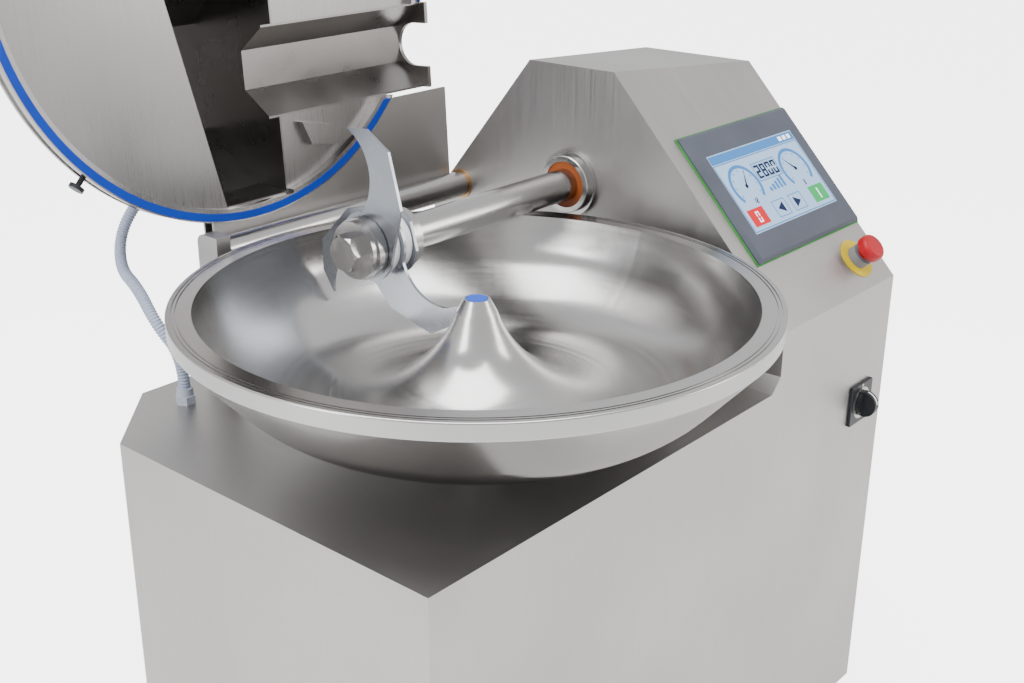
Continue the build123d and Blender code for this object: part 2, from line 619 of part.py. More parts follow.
# ======================= hub, spindle and bowl drive =======================
hub_top = outer_floor_z
hub_bottom = hub_top - HUB_THICKNESS
SEAL_HEIGHT = 10.0
SEAL_OUTER_RADIUS = SPINDLE_RADIUS + 14
hub = rod_z(BOWL_X, BOWL_Y, hub_bottom, hub_top, HUB_RADIUS)
hub = hub + rod_z(BOWL_X, BOWL_Y, hub_top - HUB_FLANGE, hub_top, SHAFT_FROM_BOWL + HUB_LAP)
hub = hub + rod_z(BOWL_X, BOWL_Y, hub_top - 1, hollow_top_z - HUB_POST_GAP, HUB_POST_RADIUS)
hub = hub - rod_z(BOWL_X, BOWL_Y, hub_bottom - 1, hub_top - SPINDLE_SEAT, SPINDLE_RADIUS)
save("bowl_hub", hub)

housing_top = DECK_HEIGHT - SHEET
housing_end = housing_top - SPINDLE_HOUSING_LENGTH
pulley_top = housing_end - 10
pulley_end = pulley_top - BOWL_BELT_WIDTH - 8
spindle = rod_z(BOWL_X, BOWL_Y, pulley_end - 6, hub_top - SPINDLE_SEAT, SPINDLE_RADIUS)
save("bowl_spindle", spindle)

housing = rod_z(BOWL_X, BOWL_Y, housing_end, housing_top, SPINDLE_HOUSING_RADIUS)
housing = housing + rod_z(BOWL_X, BOWL_Y, housing_top - 12, housing_top, SPINDLE_FLANGE_RADIUS)
housing = housing - rod_z(BOWL_X, BOWL_Y, housing_end - 1, housing_top + 1, SPINDLE_RADIUS + 4)
bearings = []
BEARING_RACE_RADIUS = 52.0
for top in (housing_top - 6, housing_end + BEARING_WIDTH + 6):
    seat = rod_z(BOWL_X, BOWL_Y, top - BEARING_WIDTH, top, BEARING_RACE_RADIUS)
    housing = housing - seat
    bearings.append(seat - rod_z(BOWL_X, BOWL_Y, top - 40, top + 40, SPINDLE_RADIUS + 0.05))
housing = housing - rod_z(BOWL_X, BOWL_Y, housing_top - 7, housing_top + 1, BEARING_RACE_RADIUS)
housing = housing - rod_z(BOWL_X, BOWL_Y, housing_end - 1, housing_end + 7, BEARING_RACE_RADIUS)
save("spindle_housing", housing)
save("spindle_bearings", *bearings)

lip_seal = ring_z(BOWL_X, BOWL_Y, DECK_HEIGHT, DECK_HEIGHT + SEAL_HEIGHT, SEAL_OUTER_RADIUS,
                  SPINDLE_RADIUS + 0.4)
save("spindle_seal", lip_seal)

BRACKET_HALF = BOWL_MOTOR_RADIUS + BOWL_MOTOR_BRACKET_EDGE
bowl_motor_x = LEFT + SHEET + BOWL_MOTOR_BRACKET_TO_SHELL + BRACKET_HALF


def flat_pulley(x, y, radius, bore):
    low = pulley_end
    high = pulley_top - 2
    wheel = rod_z(x, y, low, high, radius)
    wheel = wheel + ring_z(x, y, low, low + 2.5, radius + BOWL_BELT_THICKNESS, bore)
    wheel = wheel + ring_z(x, y, high - 2.5, high, radius + BOWL_BELT_THICKNESS, bore)
    return wheel - rod_z(x, y, low - 1, high + 1, bore)


save("bowl_pulley", flat_pulley(BOWL_X, BOWL_Y, BOWL_PULLEY_RADIUS, SPINDLE_RADIUS))
BOWL_MOTOR_SHAFT_RADIUS = 12.0
motor_face = pulley_end - 14
small_pulley = flat_pulley(bowl_motor_x, BOWL_Y, BOWL_MOTOR_PULLEY_RADIUS, BOWL_MOTOR_SHAFT_RADIUS)
small_pulley = small_pulley + rod_z(bowl_motor_x, BOWL_Y, motor_face - 30, pulley_top - 2,
                                    BOWL_MOTOR_SHAFT_RADIUS)
save("bowl_motor_pulley", small_pulley)

belt_low = pulley_end + 2.5 + BELT_GAP
belt_high = pulley_top - 4.5 - BELT_GAP


def flat_belt_outline(grow):
    return belt_outline(BOWL_X, BOWL_Y, BOWL_PULLEY_RADIUS + grow, bowl_motor_x, BOWL_Y,
                        BOWL_MOTOR_PULLEY_RADIUS + grow)


flat_belt = extrude(Plane.XY.offset(belt_low) * (
    flat_belt_outline(BELT_GAP + BOWL_BELT_THICKNESS - 1) - flat_belt_outline(BELT_GAP)),
    belt_high - belt_low)
save("bowl_belt", flat_belt)

bowl_motor = rod_z(bowl_motor_x, BOWL_Y, motor_face - BOWL_MOTOR_LENGTH, motor_face, BOWL_MOTOR_RADIUS)
bowl_motor = bowl_motor.fillet(6, bowl_motor.edges().filter_by(GeomType.CIRCLE).group_by(Axis.Z)[0])
bowl_motor = bowl_motor - rod_z(bowl_motor_x, BOWL_Y, motor_face - 34, motor_face + 1,
                                BOWL_MOTOR_SHAFT_RADIUS + 0.05)
MOTOR_BOX_DEPTH = 34.0
MOTOR_BOX_HALF = 30.0
MOTOR_BOX_UNDER_FACE = 80.0
MOTOR_BOX_HEIGHT = 70.0
motor_box_top = motor_face - MOTOR_BOX_UNDER_FACE
bowl_motor = bowl_motor + block(
    bowl_motor_x - MOTOR_BOX_HALF, bowl_motor_x + MOTOR_BOX_HALF,
    BOWL_Y - BOWL_MOTOR_RADIUS - MOTOR_BOX_DEPTH, BOWL_Y - BOWL_MOTOR_RADIUS + 8,
    motor_box_top - MOTOR_BOX_HEIGHT, motor_box_top)
save("bowl_motor", bowl_motor)

BRACKET_SHEET = 6.0
BRACKET_BORE = BOWL_MOTOR_SHAFT_RADIUS + 14
bracket = block(bowl_motor_x - BRACKET_HALF, bowl_motor_x + BRACKET_HALF, BOWL_Y - BRACKET_HALF,
                BOWL_Y + BRACKET_HALF, motor_face, motor_face + BRACKET_SHEET)
bracket = bracket - rod_z(bowl_motor_x, BOWL_Y, motor_face - 1, motor_face + 10, BRACKET_BORE)
for side in (-1, 1):
    y = BOWL_Y + side * (BRACKET_HALF - BRACKET_SHEET / 2)
    bracket = bracket + block(bowl_motor_x - BRACKET_HALF, bowl_motor_x + BRACKET_HALF, y - BRACKET_SHEET / 2,
                              y + BRACKET_SHEET / 2, motor_face, housing_top)
save("bowl_motor_bracket", bracket)

# ======================= knife shaft =======================
nut_x = BOWL_X - NUT_FROM_BOWL_AXIS
washer_x = nut_x + NUT_WIDTH
knife_x = [washer_x + WASHER_WIDTH + i * (KNIFE_THICKNESS + SPACER_WIDTH) for i in range(KNIFE_COUNT)]
collar_x = knife_x[-1] + KNIFE_THICKNESS
shaft_x = collar_x + COLLAR_WIDTH
wall_ring_x = HOUSING_X - WALL_RING_WIDTH
front_ring_x = wall_ring_x - FRONT_RING_WIDTH
bearing_tube_x = HOUSING_X + SHEET
SHAFT_PULLEY_WIDTH = BELT_COUNT * BELT_PITCH + 2 * PULLEY_RIM
bearing_tube_end = PULLEY_X - SHAFT_PULLEY_WIDTH / 2 - BEARING_TUBE_TO_PULLEY
shaft_end = PULLEY_X + SHAFT_PULLEY_WIDTH / 2 + 12

shaft = rod_x(shaft_x, bearing_tube_x + 4, SHAFT_Y, SHAFT_Z, SHAFT_RADIUS)
shaft = shaft + rod_x(nut_x + 3, shaft_x + 1, SHAFT_Y, SHAFT_Z, SHAFT_SEAT_RADIUS)
shaft = shaft + rod_x(bearing_tube_x, shaft_end, SHAFT_Y, SHAFT_Z, SHAFT_INNER_RADIUS)
save("knife_shaft", shaft)

nut = Plane.YZ.offset(nut_x) * Pos(SHAFT_Y, SHAFT_Z) * RegularPolygon(
    NUT_ACROSS_FLATS / 2 / math.cos(math.pi / 6), 6)
nut = extrude(nut, NUT_WIDTH)
NUT_FACE_RADIUS = 21.0
chamfer_cone = Pos(nut_x, SHAFT_Y, SHAFT_Z) * Rot(0, 90, 0) * Pos(0, 0, NUT_WIDTH / 2) * Cone(
    NUT_FACE_RADIUS, NUT_FACE_RADIUS + NUT_WIDTH * 0.7, NUT_WIDTH)
nut = nut & chamfer_cone
nut = nut - rod_x(nut_x + 3, nut_x + 40, SHAFT_Y, SHAFT_Z, SHAFT_SEAT_RADIUS)
save("shaft_nut", nut)


def shaft_ring(x, width, radius, edge):
    part = ring_x(x, x + width, SHAFT_Y, SHAFT_Z, radius, SHAFT_SEAT_RADIUS)
    outer = part.edges().filter_by(GeomType.CIRCLE).filter_by(lambda e: abs(e.radius - radius) < 0.01)
    return part.chamfer(edge, None, outer)


STEP_WIDTH = 8.0
washer = shaft_ring(washer_x, WASHER_WIDTH, WASHER_RADIUS, 1.5)
washer = washer - ring_x(washer_x - 1, washer_x + STEP_WIDTH, SHAFT_Y, SHAFT_Z, WASHER_RADIUS + 5,
                         WASHER_RADIUS - 3)
save("clamp_washer", washer)
save("knife_collar", shaft_ring(collar_x, COLLAR_WIDTH, COLLAR_RADIUS, 1.0))
save("spacer_rings", *[shaft_ring(x + KNIFE_THICKNESS, SPACER_WIDTH, SPACER_RADIUS, 1.0)
                       for x in knife_x[:-1]])


def polar(radius, degrees):
    return radius * math.cos(math.radians(degrees)), radius * math.sin(math.radians(degrees))


tip_front = polar(KNIFE_RADIUS, 0)
tip_back = polar(KNIFE_RADIUS, KNIFE_TIP_ANGLE)
back = polar(KNIFE_RADIUS - KNIFE_BACK_DROP, KNIFE_BACK_ANGLE)
heel = polar(KNIFE_RADIUS - KNIFE_HEEL_DROP, KNIFE_HEEL_ANGLE)
hollow_point = polar(KNIFE_RADIUS - KNIFE_HOLLOW_DROP, KNIFE_HOLLOW_ANGLE)
root_front = polar(KNIFE_EYE_RADIUS, KNIFE_ROOT_ANGLES[0])
root_back = polar(KNIFE_EYE_RADIUS, KNIFE_ROOT_ANGLES[1])
blade = make_face(
    Polyline(tip_front, tip_back, back, heel, root_back, (0, 0), root_front)
    + ThreePointArc(root_front, hollow_point, tip_front))
eye = Circle(KNIFE_EYE_RADIUS) & Rot(0, 0, 25) * Rectangle(2 * KNIFE_EYE_FLAT, 2 * KNIFE_EYE_RADIUS)
outline = blade + eye - Circle(SHAFT_SEAT_RADIUS)
knife_names = ("knife_one", "knife_two", "knife_three")
for i in range(KNIFE_COUNT):
    turn = FIRST_KNIFE_ANGLE + 360 / KNIFE_COUNT * i
    face = Plane.YZ.offset(knife_x[i]) * Pos(SHAFT_Y, SHAFT_Z) * Rot(0, 0, turn) * outline
    save(knife_names[i], extrude(face, KNIFE_THICKNESS))

flange = ring_x(wall_ring_x, HOUSING_X, SHAFT_Y, SHAFT_Z, WALL_RING_RADIUS, SEAL_RADIUS)
flange = flange + ring_x(front_ring_x, wall_ring_x, SHAFT_Y, SHAFT_Z, FRONT_RING_RADIUS, SEAL_RADIUS)
rims = flange.edges().filter_by(GeomType.CIRCLE).filter_by(lambda e: e.radius > FRONT_RING_RADIUS - 1)
flange = flange.chamfer(1.2, None, rims.group_by(Axis.X)[0])
save("shaft_flange", flange)
seal = ring_x(front_ring_x + SEAL_RECESS, HOUSING_X, SHAFT_Y, SHAFT_Z, SEAL_RADIUS, SHAFT_RADIUS + 0.05)
save("shaft_seal", seal)

bearing_tube = rod_x(bearing_tube_x, bearing_tube_end, SHAFT_Y, SHAFT_Z, BEARING_TUBE_RADIUS)
bearing_tube = bearing_tube + rod_x(bearing_tube_x, bearing_tube_x + 12, SHAFT_Y, SHAFT_Z,
                                    BEARING_TUBE_RADIUS + 20)
bearing_tube = bearing_tube - rod_x(bearing_tube_x - 1, bearing_tube_end + 1, SHAFT_Y, SHAFT_Z,
                                    SHAFT_RADIUS + 5)
shaft_bearings = []
for x in (bearing_tube_x + 14, bearing_tube_end - BEARING_WIDTH - 8):
    seat = rod_x(x, x + BEARING_WIDTH, SHAFT_Y, SHAFT_Z, BEARING_RADIUS)
    shaft_bearings.append(seat - rod_x(x - 1, x + 50, SHAFT_Y, SHAFT_Z, SHAFT_INNER_RADIUS + 0.05))
bearing_tube = bearing_tube - rod_x(bearing_tube_x + 14, bearing_tube_end - 8, SHAFT_Y, SHAFT_Z,
                                    BEARING_RADIUS)
bearing_tube = bearing_tube - rod_x(bearing_tube_end - 9, bearing_tube_end + 1, SHAFT_Y, SHAFT_Z, 34)
save("bearing_tube", bearing_tube)
save("shaft_bearings", *shaft_bearings)


# ======================= belt drive and motor =======================
def groove_pulley(z, radius, bore):
    half = SHAFT_PULLEY_WIDTH / 2
    wheel = rod_x(PULLEY_X - half, PULLEY_X + half, SHAFT_Y, z, radius)
    for i in range(BELT_COUNT):
        x = PULLEY_X + (i - (BELT_COUNT - 1) / 2) * BELT_PITCH
        cut = BELT_WIDTH / 2 + BELT_GAP
        wheel = wheel - ring_x(x - cut, x + cut, SHAFT_Y, z, radius + 5, radius - BELT_DEPTH_IN_PULLEY)
    return wheel - rod_x(PULLEY_X - half - 1, PULLEY_X + half + 1, SHAFT_Y, z, bore)


save("shaft_pulley", groove_pulley(SHAFT_Z, SHAFT_PULLEY_RADIUS, SHAFT_INNER_RADIUS))
save("motor_pulley", groove_pulley(MOTOR_Z, MOTOR_PULLEY_RADIUS, MOTOR_SHAFT_RADIUS))

inner_grow = BELT_GAP - BELT_DEPTH_IN_PULLEY


def drive_belt_outline(grow):
    return belt_outline(SHAFT_Y, SHAFT_Z, SHAFT_PULLEY_RADIUS + grow, SHAFT_Y, MOTOR_Z,
                        MOTOR_PULLEY_RADIUS + grow)


belt_face = drive_belt_outline(inner_grow + BELT_THICKNESS) - drive_belt_outline(inner_grow)
belts = []
for i in range(BELT_COUNT):
    x = PULLEY_X + (i - (BELT_COUNT - 1) / 2) * BELT_PITCH - BELT_WIDTH / 2
    belts.append(extrude(Plane.YZ.offset(x) * belt_face, BELT_WIDTH))
save("drive_belts", *belts)

rotor = rod_x(motor_x0 + 60, motor_x1 - 60, SHAFT_Y, MOTOR_Z, ROTOR_RADIUS)
rotor = rotor + rod_x(motor_x0 + 20, PULLEY_X + SHAFT_PULLEY_WIDTH / 2, SHAFT_Y, MOTOR_Z,
                      MOTOR_SHAFT_RADIUS)
save("motor_rotor", rotor)

motor_core = MOTOR_RADIUS - 14
case = rod_x(motor_x0, motor_x1, SHAFT_Y, MOTOR_Z, motor_core)
fin = block(motor_x0 + 40, motor_x1 - 30, -2, 2, motor_core - 2, MOTOR_RADIUS)
for i in range(MOTOR_FIN_COUNT):
    case = case + Pos(0, SHAFT_Y, MOTOR_Z) * Rot(360 / MOTOR_FIN_COUNT * (i + 0.5), 0, 0) * fin
case = case + rod_x(motor_x0, motor_x0 + 40, SHAFT_Y, MOTOR_Z, MOTOR_RADIUS)
case = case + rod_x(motor_x1 - 30, motor_x1, SHAFT_Y, MOTOR_Z, MOTOR_RADIUS)
case = case + block(motor_x0 + 60, motor_x1 - 60, SHAFT_Y - 100, SHAFT_Y + 100,
                    MOTOR_FOOT_Z + PAD_PLATE, MOTOR_FOOT_Z + PAD_PLATE + 14)
for side in (-1, 1):
    foot_y = SHAFT_Y + side * 75
    case = case + block(motor_x0 + 60, motor_x1 - 60, foot_y - 12, foot_y + 12,
                        MOTOR_FOOT_Z + PAD_PLATE, MOTOR_Z - 40)
case = case + block(motor_x0 + 90, motor_x0 + 210, SHAFT_Y - MOTOR_RADIUS - 40, SHAFT_Y - motor_core + 30,
                    MOTOR_Z - 50, MOTOR_Z + 50)
case = case - rod_x(motor_x0 + 30, motor_x1 - 30, SHAFT_Y, MOTOR_Z, ROTOR_RADIUS + 1.5)
case = case - rod_x(motor_x0 + 16, motor_x1 + 1, SHAFT_Y, MOTOR_Z, MOTOR_SHAFT_RADIUS + 0.05)
save("motor_case", case)

# ======================= lid, drawn closed =======================
GASKET_Z = RIM_Z + GASKET_REST_GAP
SEAT_Z = GASKET_Z + GASKET_HEIGHT
LID_TOP_Z = GASKET_Z + LID_RING_HEIGHT
PLATE_Z = RIM_Z + LID_PLATE_OVER_RIM
TUNNEL_ROOF_Z = RIM_Z + TUNNEL_ROOF_OVER_RIM
TUNNEL_X0 = shaft_x + TUNNEL_FROM_COLLAR
TUNNEL_X1 = HOUSING_X - TUNNEL_TO_HOUSING
HOOD_X1 = BOWL_X + HOOD_RIGHT_OF_BOWL_AXIS
HOOD_FRONT_Y = SHAFT_Y - KNIFE_RADIUS - HOOD_FOOT_FROM_KNIVES
HOOD_REAR_Y = SHAFT_Y + KNIFE_RADIUS + HOOD_REAR_FROM_KNIVES
HOOD_LEAN = (HOOD_FRONT_LEFT_OF_BOWL_AXIS - HOOD_REAR_LEFT_OF_BOWL_AXIS) / (HOOD_REAR_Y - HOOD_FRONT_Y)


def tunnel_profile(grow, floor_z):
    """Cross-section of the space over the knife shaft."""
    return ((SHAFT_Y - TUNNEL_BASE_HALF_WIDTH - grow, floor_z),
            (SHAFT_Y - TUNNEL_BASE_HALF_WIDTH - grow, PLATE_Z),
            (SHAFT_Y - TUNNEL_ROOF_HALF_WIDTH - grow / 2, TUNNEL_ROOF_Z + grow),
            (SHAFT_Y + TUNNEL_ROOF_HALF_WIDTH + grow / 2, TUNNEL_ROOF_Z + grow),
            (SHAFT_Y + TUNNEL_BASE_HALF_WIDTH + grow, PLATE_Z),
            (SHAFT_Y + TUNNEL_BASE_HALF_WIDTH + grow, floor_z))


# The hood over the knives: a folded roof between two upright sides.
hood_roof_z = SHAFT_Z + KNIFE_RADIUS + HOOD_ROOF_OVER_KNIVES
hood_roof = (
    (HOOD_FRONT_Y, PLATE_Z), (SHAFT_Y - HOOD_TOP_FRONT, hood_roof_z),
    (SHAFT_Y + HOOD_TOP_REAR, hood_roof_z - HOOD_ROOF_FALL),
    (SHAFT_Y + KNIFE_RADIUS + HOOD_SHOULDER_FROM_KNIVES, SHAFT_Z + HOOD_SHOULDER_OVER_SHAFT),
    (HOOD_REAR_Y, PLATE_Z))


def hood_left(y):
    """The x of the hood's slanting left side."""
    return BOWL_X - HOOD_FRONT_LEFT_OF_BOWL_AXIS + (y - HOOD_FRONT_Y) * HOOD_LEAN


def hood_solid(inset, floor_z):
    face = make_face(Polyline((HOOD_FRONT_Y, floor_z), *hood_roof, (HOOD_REAR_Y, floor_z), close=True))
    if inset:
        face = offset(face, -inset, kind=Kind.INTERSECTION)
    tall = extrude(Plane.YZ.offset(HOOD_X1 - CABINET_WIDTH) * face, 2 * CABINET_WIDTH)
    plan = slab_xy(((hood_left(HOOD_FRONT_Y) + inset, HOOD_FRONT_Y), (HOOD_X1 - inset, HOOD_FRONT_Y),
                    (HOOD_X1 - inset, HOOD_REAR_Y), (hood_left(HOOD_REAR_Y) + inset, HOOD_REAR_Y)),
                   DECK_HEIGHT, hood_roof_z + 100)
    return tall & plan


def below(z):
    return block(-700, 700, -700, 700, z - 400, z)


tunnel_space = slab_yz(tunnel_profile(0, RIM_Z - 30), TUNNEL_X0, TUNNEL_X1 + 40)
tunnel_skin = slab_yz(tunnel_profile(LID_SHEET, PLATE_Z - 10), TUNNEL_X0, TUNNEL_X1) - below(PLATE_Z)
hood_outside = hood_solid(0, PLATE_Z - 60)
hood_inside = hood_solid(LID_SHEET, PLATE_Z - 60)

ring_outer = LID_RADIUS
lip_z = GASKET_Z + GASKET_PROUD
lid_ring = ring_z(BOWL_X, BOWL_Y, lip_z, LID_TOP_Z, ring_outer, LID_RING_INNER_RADIUS)
lid_ring = lid_ring - ring_z(BOWL_X, BOWL_Y, lip_z - 1, SEAT_Z, GASKET_OUTER_RADIUS + 0.1,
                             GASKET_INNER_RADIUS - 0.1)
lid_ring = lid_ring - ring_z(BOWL_X, BOWL_Y, SEAT_Z + RING_BEAD, LID_TOP_Z - RING_BEAD, ring_outer + 5,
                             ring_outer - RING_WAIST)
ring_gap = slab_yz(tunnel_profile(LID_SHEET, GASKET_Z - 5), HOOD_X1, RIGHT)
lid_ring = lid_ring - ring_gap - hood_outside
lid_gasket = ring_z(BOWL_X, BOWL_Y, GASKET_Z, SEAT_Z, GASKET_OUTER_RADIUS, GASKET_INNER_RADIUS)
lid_gasket = lid_gasket - slab_yz(tunnel_profile(LID_SHEET + 4, GASKET_Z - 5), HOOD_X1, RIGHT)

left_plate_low = SEAT_Z - 2
left_plate_top = left_plate_low + LID_SHEET
plate = rod_z(BOWL_X, BOWL_Y, PLATE_Z, PLATE_Z + LID_SHEET, LID_RING_INNER_RADIUS)
plate = plate - hood_outside - ring_gap
plate = plate - slab_yz(tunnel_profile(LID_SHEET, PLATE_Z - 5), HOOD_X1 - 1, RIGHT)
plan_front = BOWL_Y - BOWL_RADIUS - 50
plan_rear = BOWL_Y + BOWL_RADIUS + 50
plan_left = BOWL_X - BOWL_RADIUS - 50
left_plan = slab_xy(
    ((plan_left, plan_front), (hood_left(plan_front), plan_front), (hood_left(plan_rear), plan_rear),
     (plan_left, plan_rear)), GASKET_Z, LID_TOP_Z + 50)
left_plate = rod_z(BOWL_X, BOWL_Y, left_plate_low, left_plate_top, LID_RING_INNER_RADIUS) & left_plan
plates_right = plate - left_plan
web = (left_plan - Pos(-LID_SHEET, 0, 0) * left_plan) & rod_z(
    BOWL_X, BOWL_Y, left_plate_low, PLATE_Z + LID_SHEET, LID_RING_INNER_RADIUS)
left_plate = left_plate + (web - hood_outside)
hood = hood_outside - hood_inside - below(left_plate_top)
hood = hood - (below(PLATE_Z) & block(HOOD_X1 - 10, RIGHT, FRONT, REAR, 0, 2000))
hood = hood - slab_yz(tunnel_profile(LID_SHEET, PLATE_Z - 40), HOOD_X1 - 20, RIGHT)
save("knife_hood", opened(hood))

tunnel = tunnel_skin - tunnel_space
end_plate = slab_yz(tunnel_profile(LID_SHEET, GASKET_Z + 1), TUNNEL_X1 - TUNNEL_END_PLATE, TUNNEL_X1)
end_plate = end_plate - rod_x(TUNNEL_X1 - 50, TUNNEL_X1 + 50, SHAFT_Y, SHAFT_Z, NOTCH_RADIUS)
end_plate = end_plate - block(TUNNEL_X1 - 50, TUNNEL_X1 + 50, SHAFT_Y - NOTCH_RADIUS,
                              SHAFT_Y + NOTCH_RADIUS, RIM_Z - 50, SHAFT_Z)
tunnel = tunnel + end_plate
save("shaft_tunnel", opened(tunnel))
save("lid_gasket", opened(lid_gasket))

# A leaf-shaped deflector under the plate beside the tunnel, drawn from the shaft's line.
DEFLECTOR_THICKNESS = 12.0
deflector_points = ((TUNNEL_X0 + 46, 72), (TUNNEL_X0 + 104, 84), (TUNNEL_X0 + 145, 99),
                    (TUNNEL_X0 + 114, 114), (TUNNEL_X0 + 60, 104))
deflector = slab_xy([(x, SHAFT_Y + y) for x, y in deflector_points], PLATE_Z - DEFLECTOR_THICKNESS, PLATE_Z)
SMALLEST_PIECE = 5000.0
plate_pieces = [solid for solid in (plates_right + deflector).solids() if solid.volume > SMALLEST_PIECE]
plate_pieces = plate_pieces + [solid for solid in left_plate.solids() if solid.volume > SMALLEST_PIECE]
save("lid_plates", *[opened(solid) for solid in plate_pieces])
print("lid plates", [round(solid.volume) for solid in plate_pieces])

# A plate from the ring's rim to the hinge tube, and a sloping stiffener behind it.
bracket_x0 = BOWL_X - BRACKET_LEFT_OF_BOWL_AXIS
bracket_z = HINGE_Z + HINGE_TUBE_RADIUS - 2
lid_bracket = block(bracket_x0, HOUSING_X - BRACKET_TO_HOUSING, BOWL_Y + BRACKET_BEHIND_BOWL_AXIS,
                    HINGE_Y + 2, bracket_z, bracket_z + BRACKET_SHEET_LID)
lid_bracket = lid_bracket - rod_z(BOWL_X, BOWL_Y, bracket_z - 10, bracket_z + 10, ring_outer)
ring_rear = BOWL_Y + LID_RADIUS
stiffener_lap = ring_rear - STIFFENER_LAP
stiffener_top = ring_rear + STIFFENER_REACH
stiffener_foot = HINGE_Y + 4
stiffener = slab_yz((
    (stiffener_lap, LID_TOP_Z), (stiffener_top, LID_TOP_Z), (stiffener_foot, bracket_z),
    (stiffener_foot + STIFFENER_SHEET, bracket_z), (stiffener_top + STIFFENER_SHEET, LID_TOP_Z + LID_SHEET),
    (stiffener_lap, LID_TOP_Z + LID_SHEET)), bracket_x0, BOWL_X + STIFFENER_RIGHT_OF_BOWL_AXIS)
lid_bracket = lid_bracket + stiffener
lid_bracket = lid_bracket - rod_x(LEFT, RIGHT, HINGE_Y, HINGE_Z, HINGE_TUBE_RADIUS)
lid_bracket = lid_bracket - hood_outside
save("lid_bracket", opened(lid_bracket))

post_x = BOWL_X - POST_LEFT_OF_BOWL_AXIS
TUBE_END_GAP = 1.0
TUBE_IN_HOUSING = 40.0
tube_x0 = post_x + POST_WIDTH + TUBE_END_GAP
tube_x1 = HOUSING_X + SHEET + TUBE_IN_HOUSING
hinge_tube = ring_x(tube_x0, tube_x1, HINGE_Y, HINGE_Z, HINGE_TUBE_RADIUS, HINGE_TUBE_BORE)
save("hinge_tube", hinge_tube)

post_y = HINGE_Y + POST_SET_BACK
post = block(post_x, post_x + POST_WIDTH, post_y - POST_DEPTH / 2, post_y + POST_DEPTH / 2,
             DECK_HEIGHT, HINGE_Z + POST_OVER_HINGE)
post = post.fillet(POST_CORNER, post.edges().filter_by(Axis.X).group_by(Axis.Z)[-1].sort_by(Axis.Y)[-1:])
post = post - rod_x(post_x + PIN_WALL, post_x + 2 * POST_WIDTH, HINGE_Y, HINGE_Z, PIN_RADIUS)
save("hinge_post", post)
save("hinge_pin", rod_x(post_x + PIN_WALL, tube_x0 + PIN_IN_TUBE, HINGE_Y, HINGE_Z, PIN_RADIUS))
left_bush = ring_x(tube_x0 + 2, tube_x0 + 2 + BUSH_LENGTH, HINGE_Y, HINGE_Z, HINGE_TUBE_BORE - 0.05,
                   PIN_RADIUS)
bush_x = HOUSING_X - BUSH_FLANGE
right_bush = ring_x(bush_x, HOUSING_X + SHEET + BUSH_LENGTH / 2, HINGE_Y, HINGE_Z, BUSH_BODY_RADIUS,
                    HINGE_TUBE_RADIUS + 0.05)
right_bush = right_bush + ring_x(bush_x, HOUSING_X, HINGE_Y, HINGE_Z, HINGE_BUSH_RADIUS,
                                 HINGE_TUBE_RADIUS + 0.05)
save("hinge_bushes", left_bush, right_bush)

KNOB_DISC_RADIUS = 9.5
KNOB_STEM_RADIUS = 3.5
KNOB_STEM_INSIDE = 11.0
KNOB_STEM_OUTSIDE = 14.0
knob_z = SEAT_Z + 9
stem_start = ring_outer - KNOB_STEM_INSIDE
disc_start = ring_outer + KNOB_STEM_OUTSIDE - 2
knob = rod_x(stem_start, ring_outer + KNOB_STEM_OUTSIDE, 0, knob_z, KNOB_STEM_RADIUS)
knob = knob + rod_x(disc_start, disc_start + 5, 0, knob_z, KNOB_DISC_RADIUS)
place_knob = Pos(BOWL_X, BOWL_Y, 0) * Rot(0, 0, LID_KNOB_ANGLE)
knob_bore = rod_x(stem_start - 0.5, disc_start, 0, knob_z, KNOB_STEM_RADIUS + 0.05)
save("lid_knob", opened(place_knob * knob))
save("lid_ring", opened(lid_ring - place_knob * knob_bore))

# ======================= control panel =======================
SEAL_SHEET = 1.5
SCREEN_THICKNESS = 3.0
SCREEN_BELOW_BEZEL = 0.6
bezel_top = SEAL_SHEET + BEZEL_RISE


def panel_box(width, height, low, high):
    return Pos(0, 0, (low + high) / 2) * Box(width, height, high - low)


def panel_rod(radius, low, high):
    return Pos(0, 0, (low + high) / 2) * Cylinder(radius, high - low)


screen_low = bezel_top - SCREEN_BELOW_BEZEL - SCREEN_THICKNESS
bezel_seal = panel_box(BEZEL_WIDTH + 4, BEZEL_HEIGHT + 4, 0, SEAL_SHEET)
bezel_seal = bezel_seal - panel_box(SCREEN_OPENING_WIDTH, SCREEN_OPENING_HEIGHT, -5, 5)
bezel = panel_box(BEZEL_WIDTH, BEZEL_HEIGHT, SEAL_SHEET, bezel_top)
bezel = bezel.chamfer(4.5, None, bezel.faces().sort_by(Axis.Z)[-1].edges())
bezel = bezel - panel_box(SCREEN_WIDTH, SCREEN_HEIGHT, screen_low, bezel_top + 1)
screen = panel_box(SCREEN_WIDTH, SCREEN_HEIGHT, screen_low, screen_low + SCREEN_THICKNESS)
back_case = panel_box(SCREEN_OPENING_WIDTH - 8, SCREEN_OPENING_HEIGHT - 8, -45, SEAL_SHEET)
save("hmi_seal", on_panel(bezel_seal, SCREEN_CENTRE_U, SCREEN_CENTRE_V))
save("hmi_bezel", on_panel(bezel, SCREEN_CENTRE_U, SCREEN_CENTRE_V))
save("hmi_screen", on_panel(screen, SCREEN_CENTRE_U, SCREEN_CENTRE_V))
save("hmi_case", on_panel(back_case, SCREEN_CENTRE_U, SCREEN_CENTRE_V))

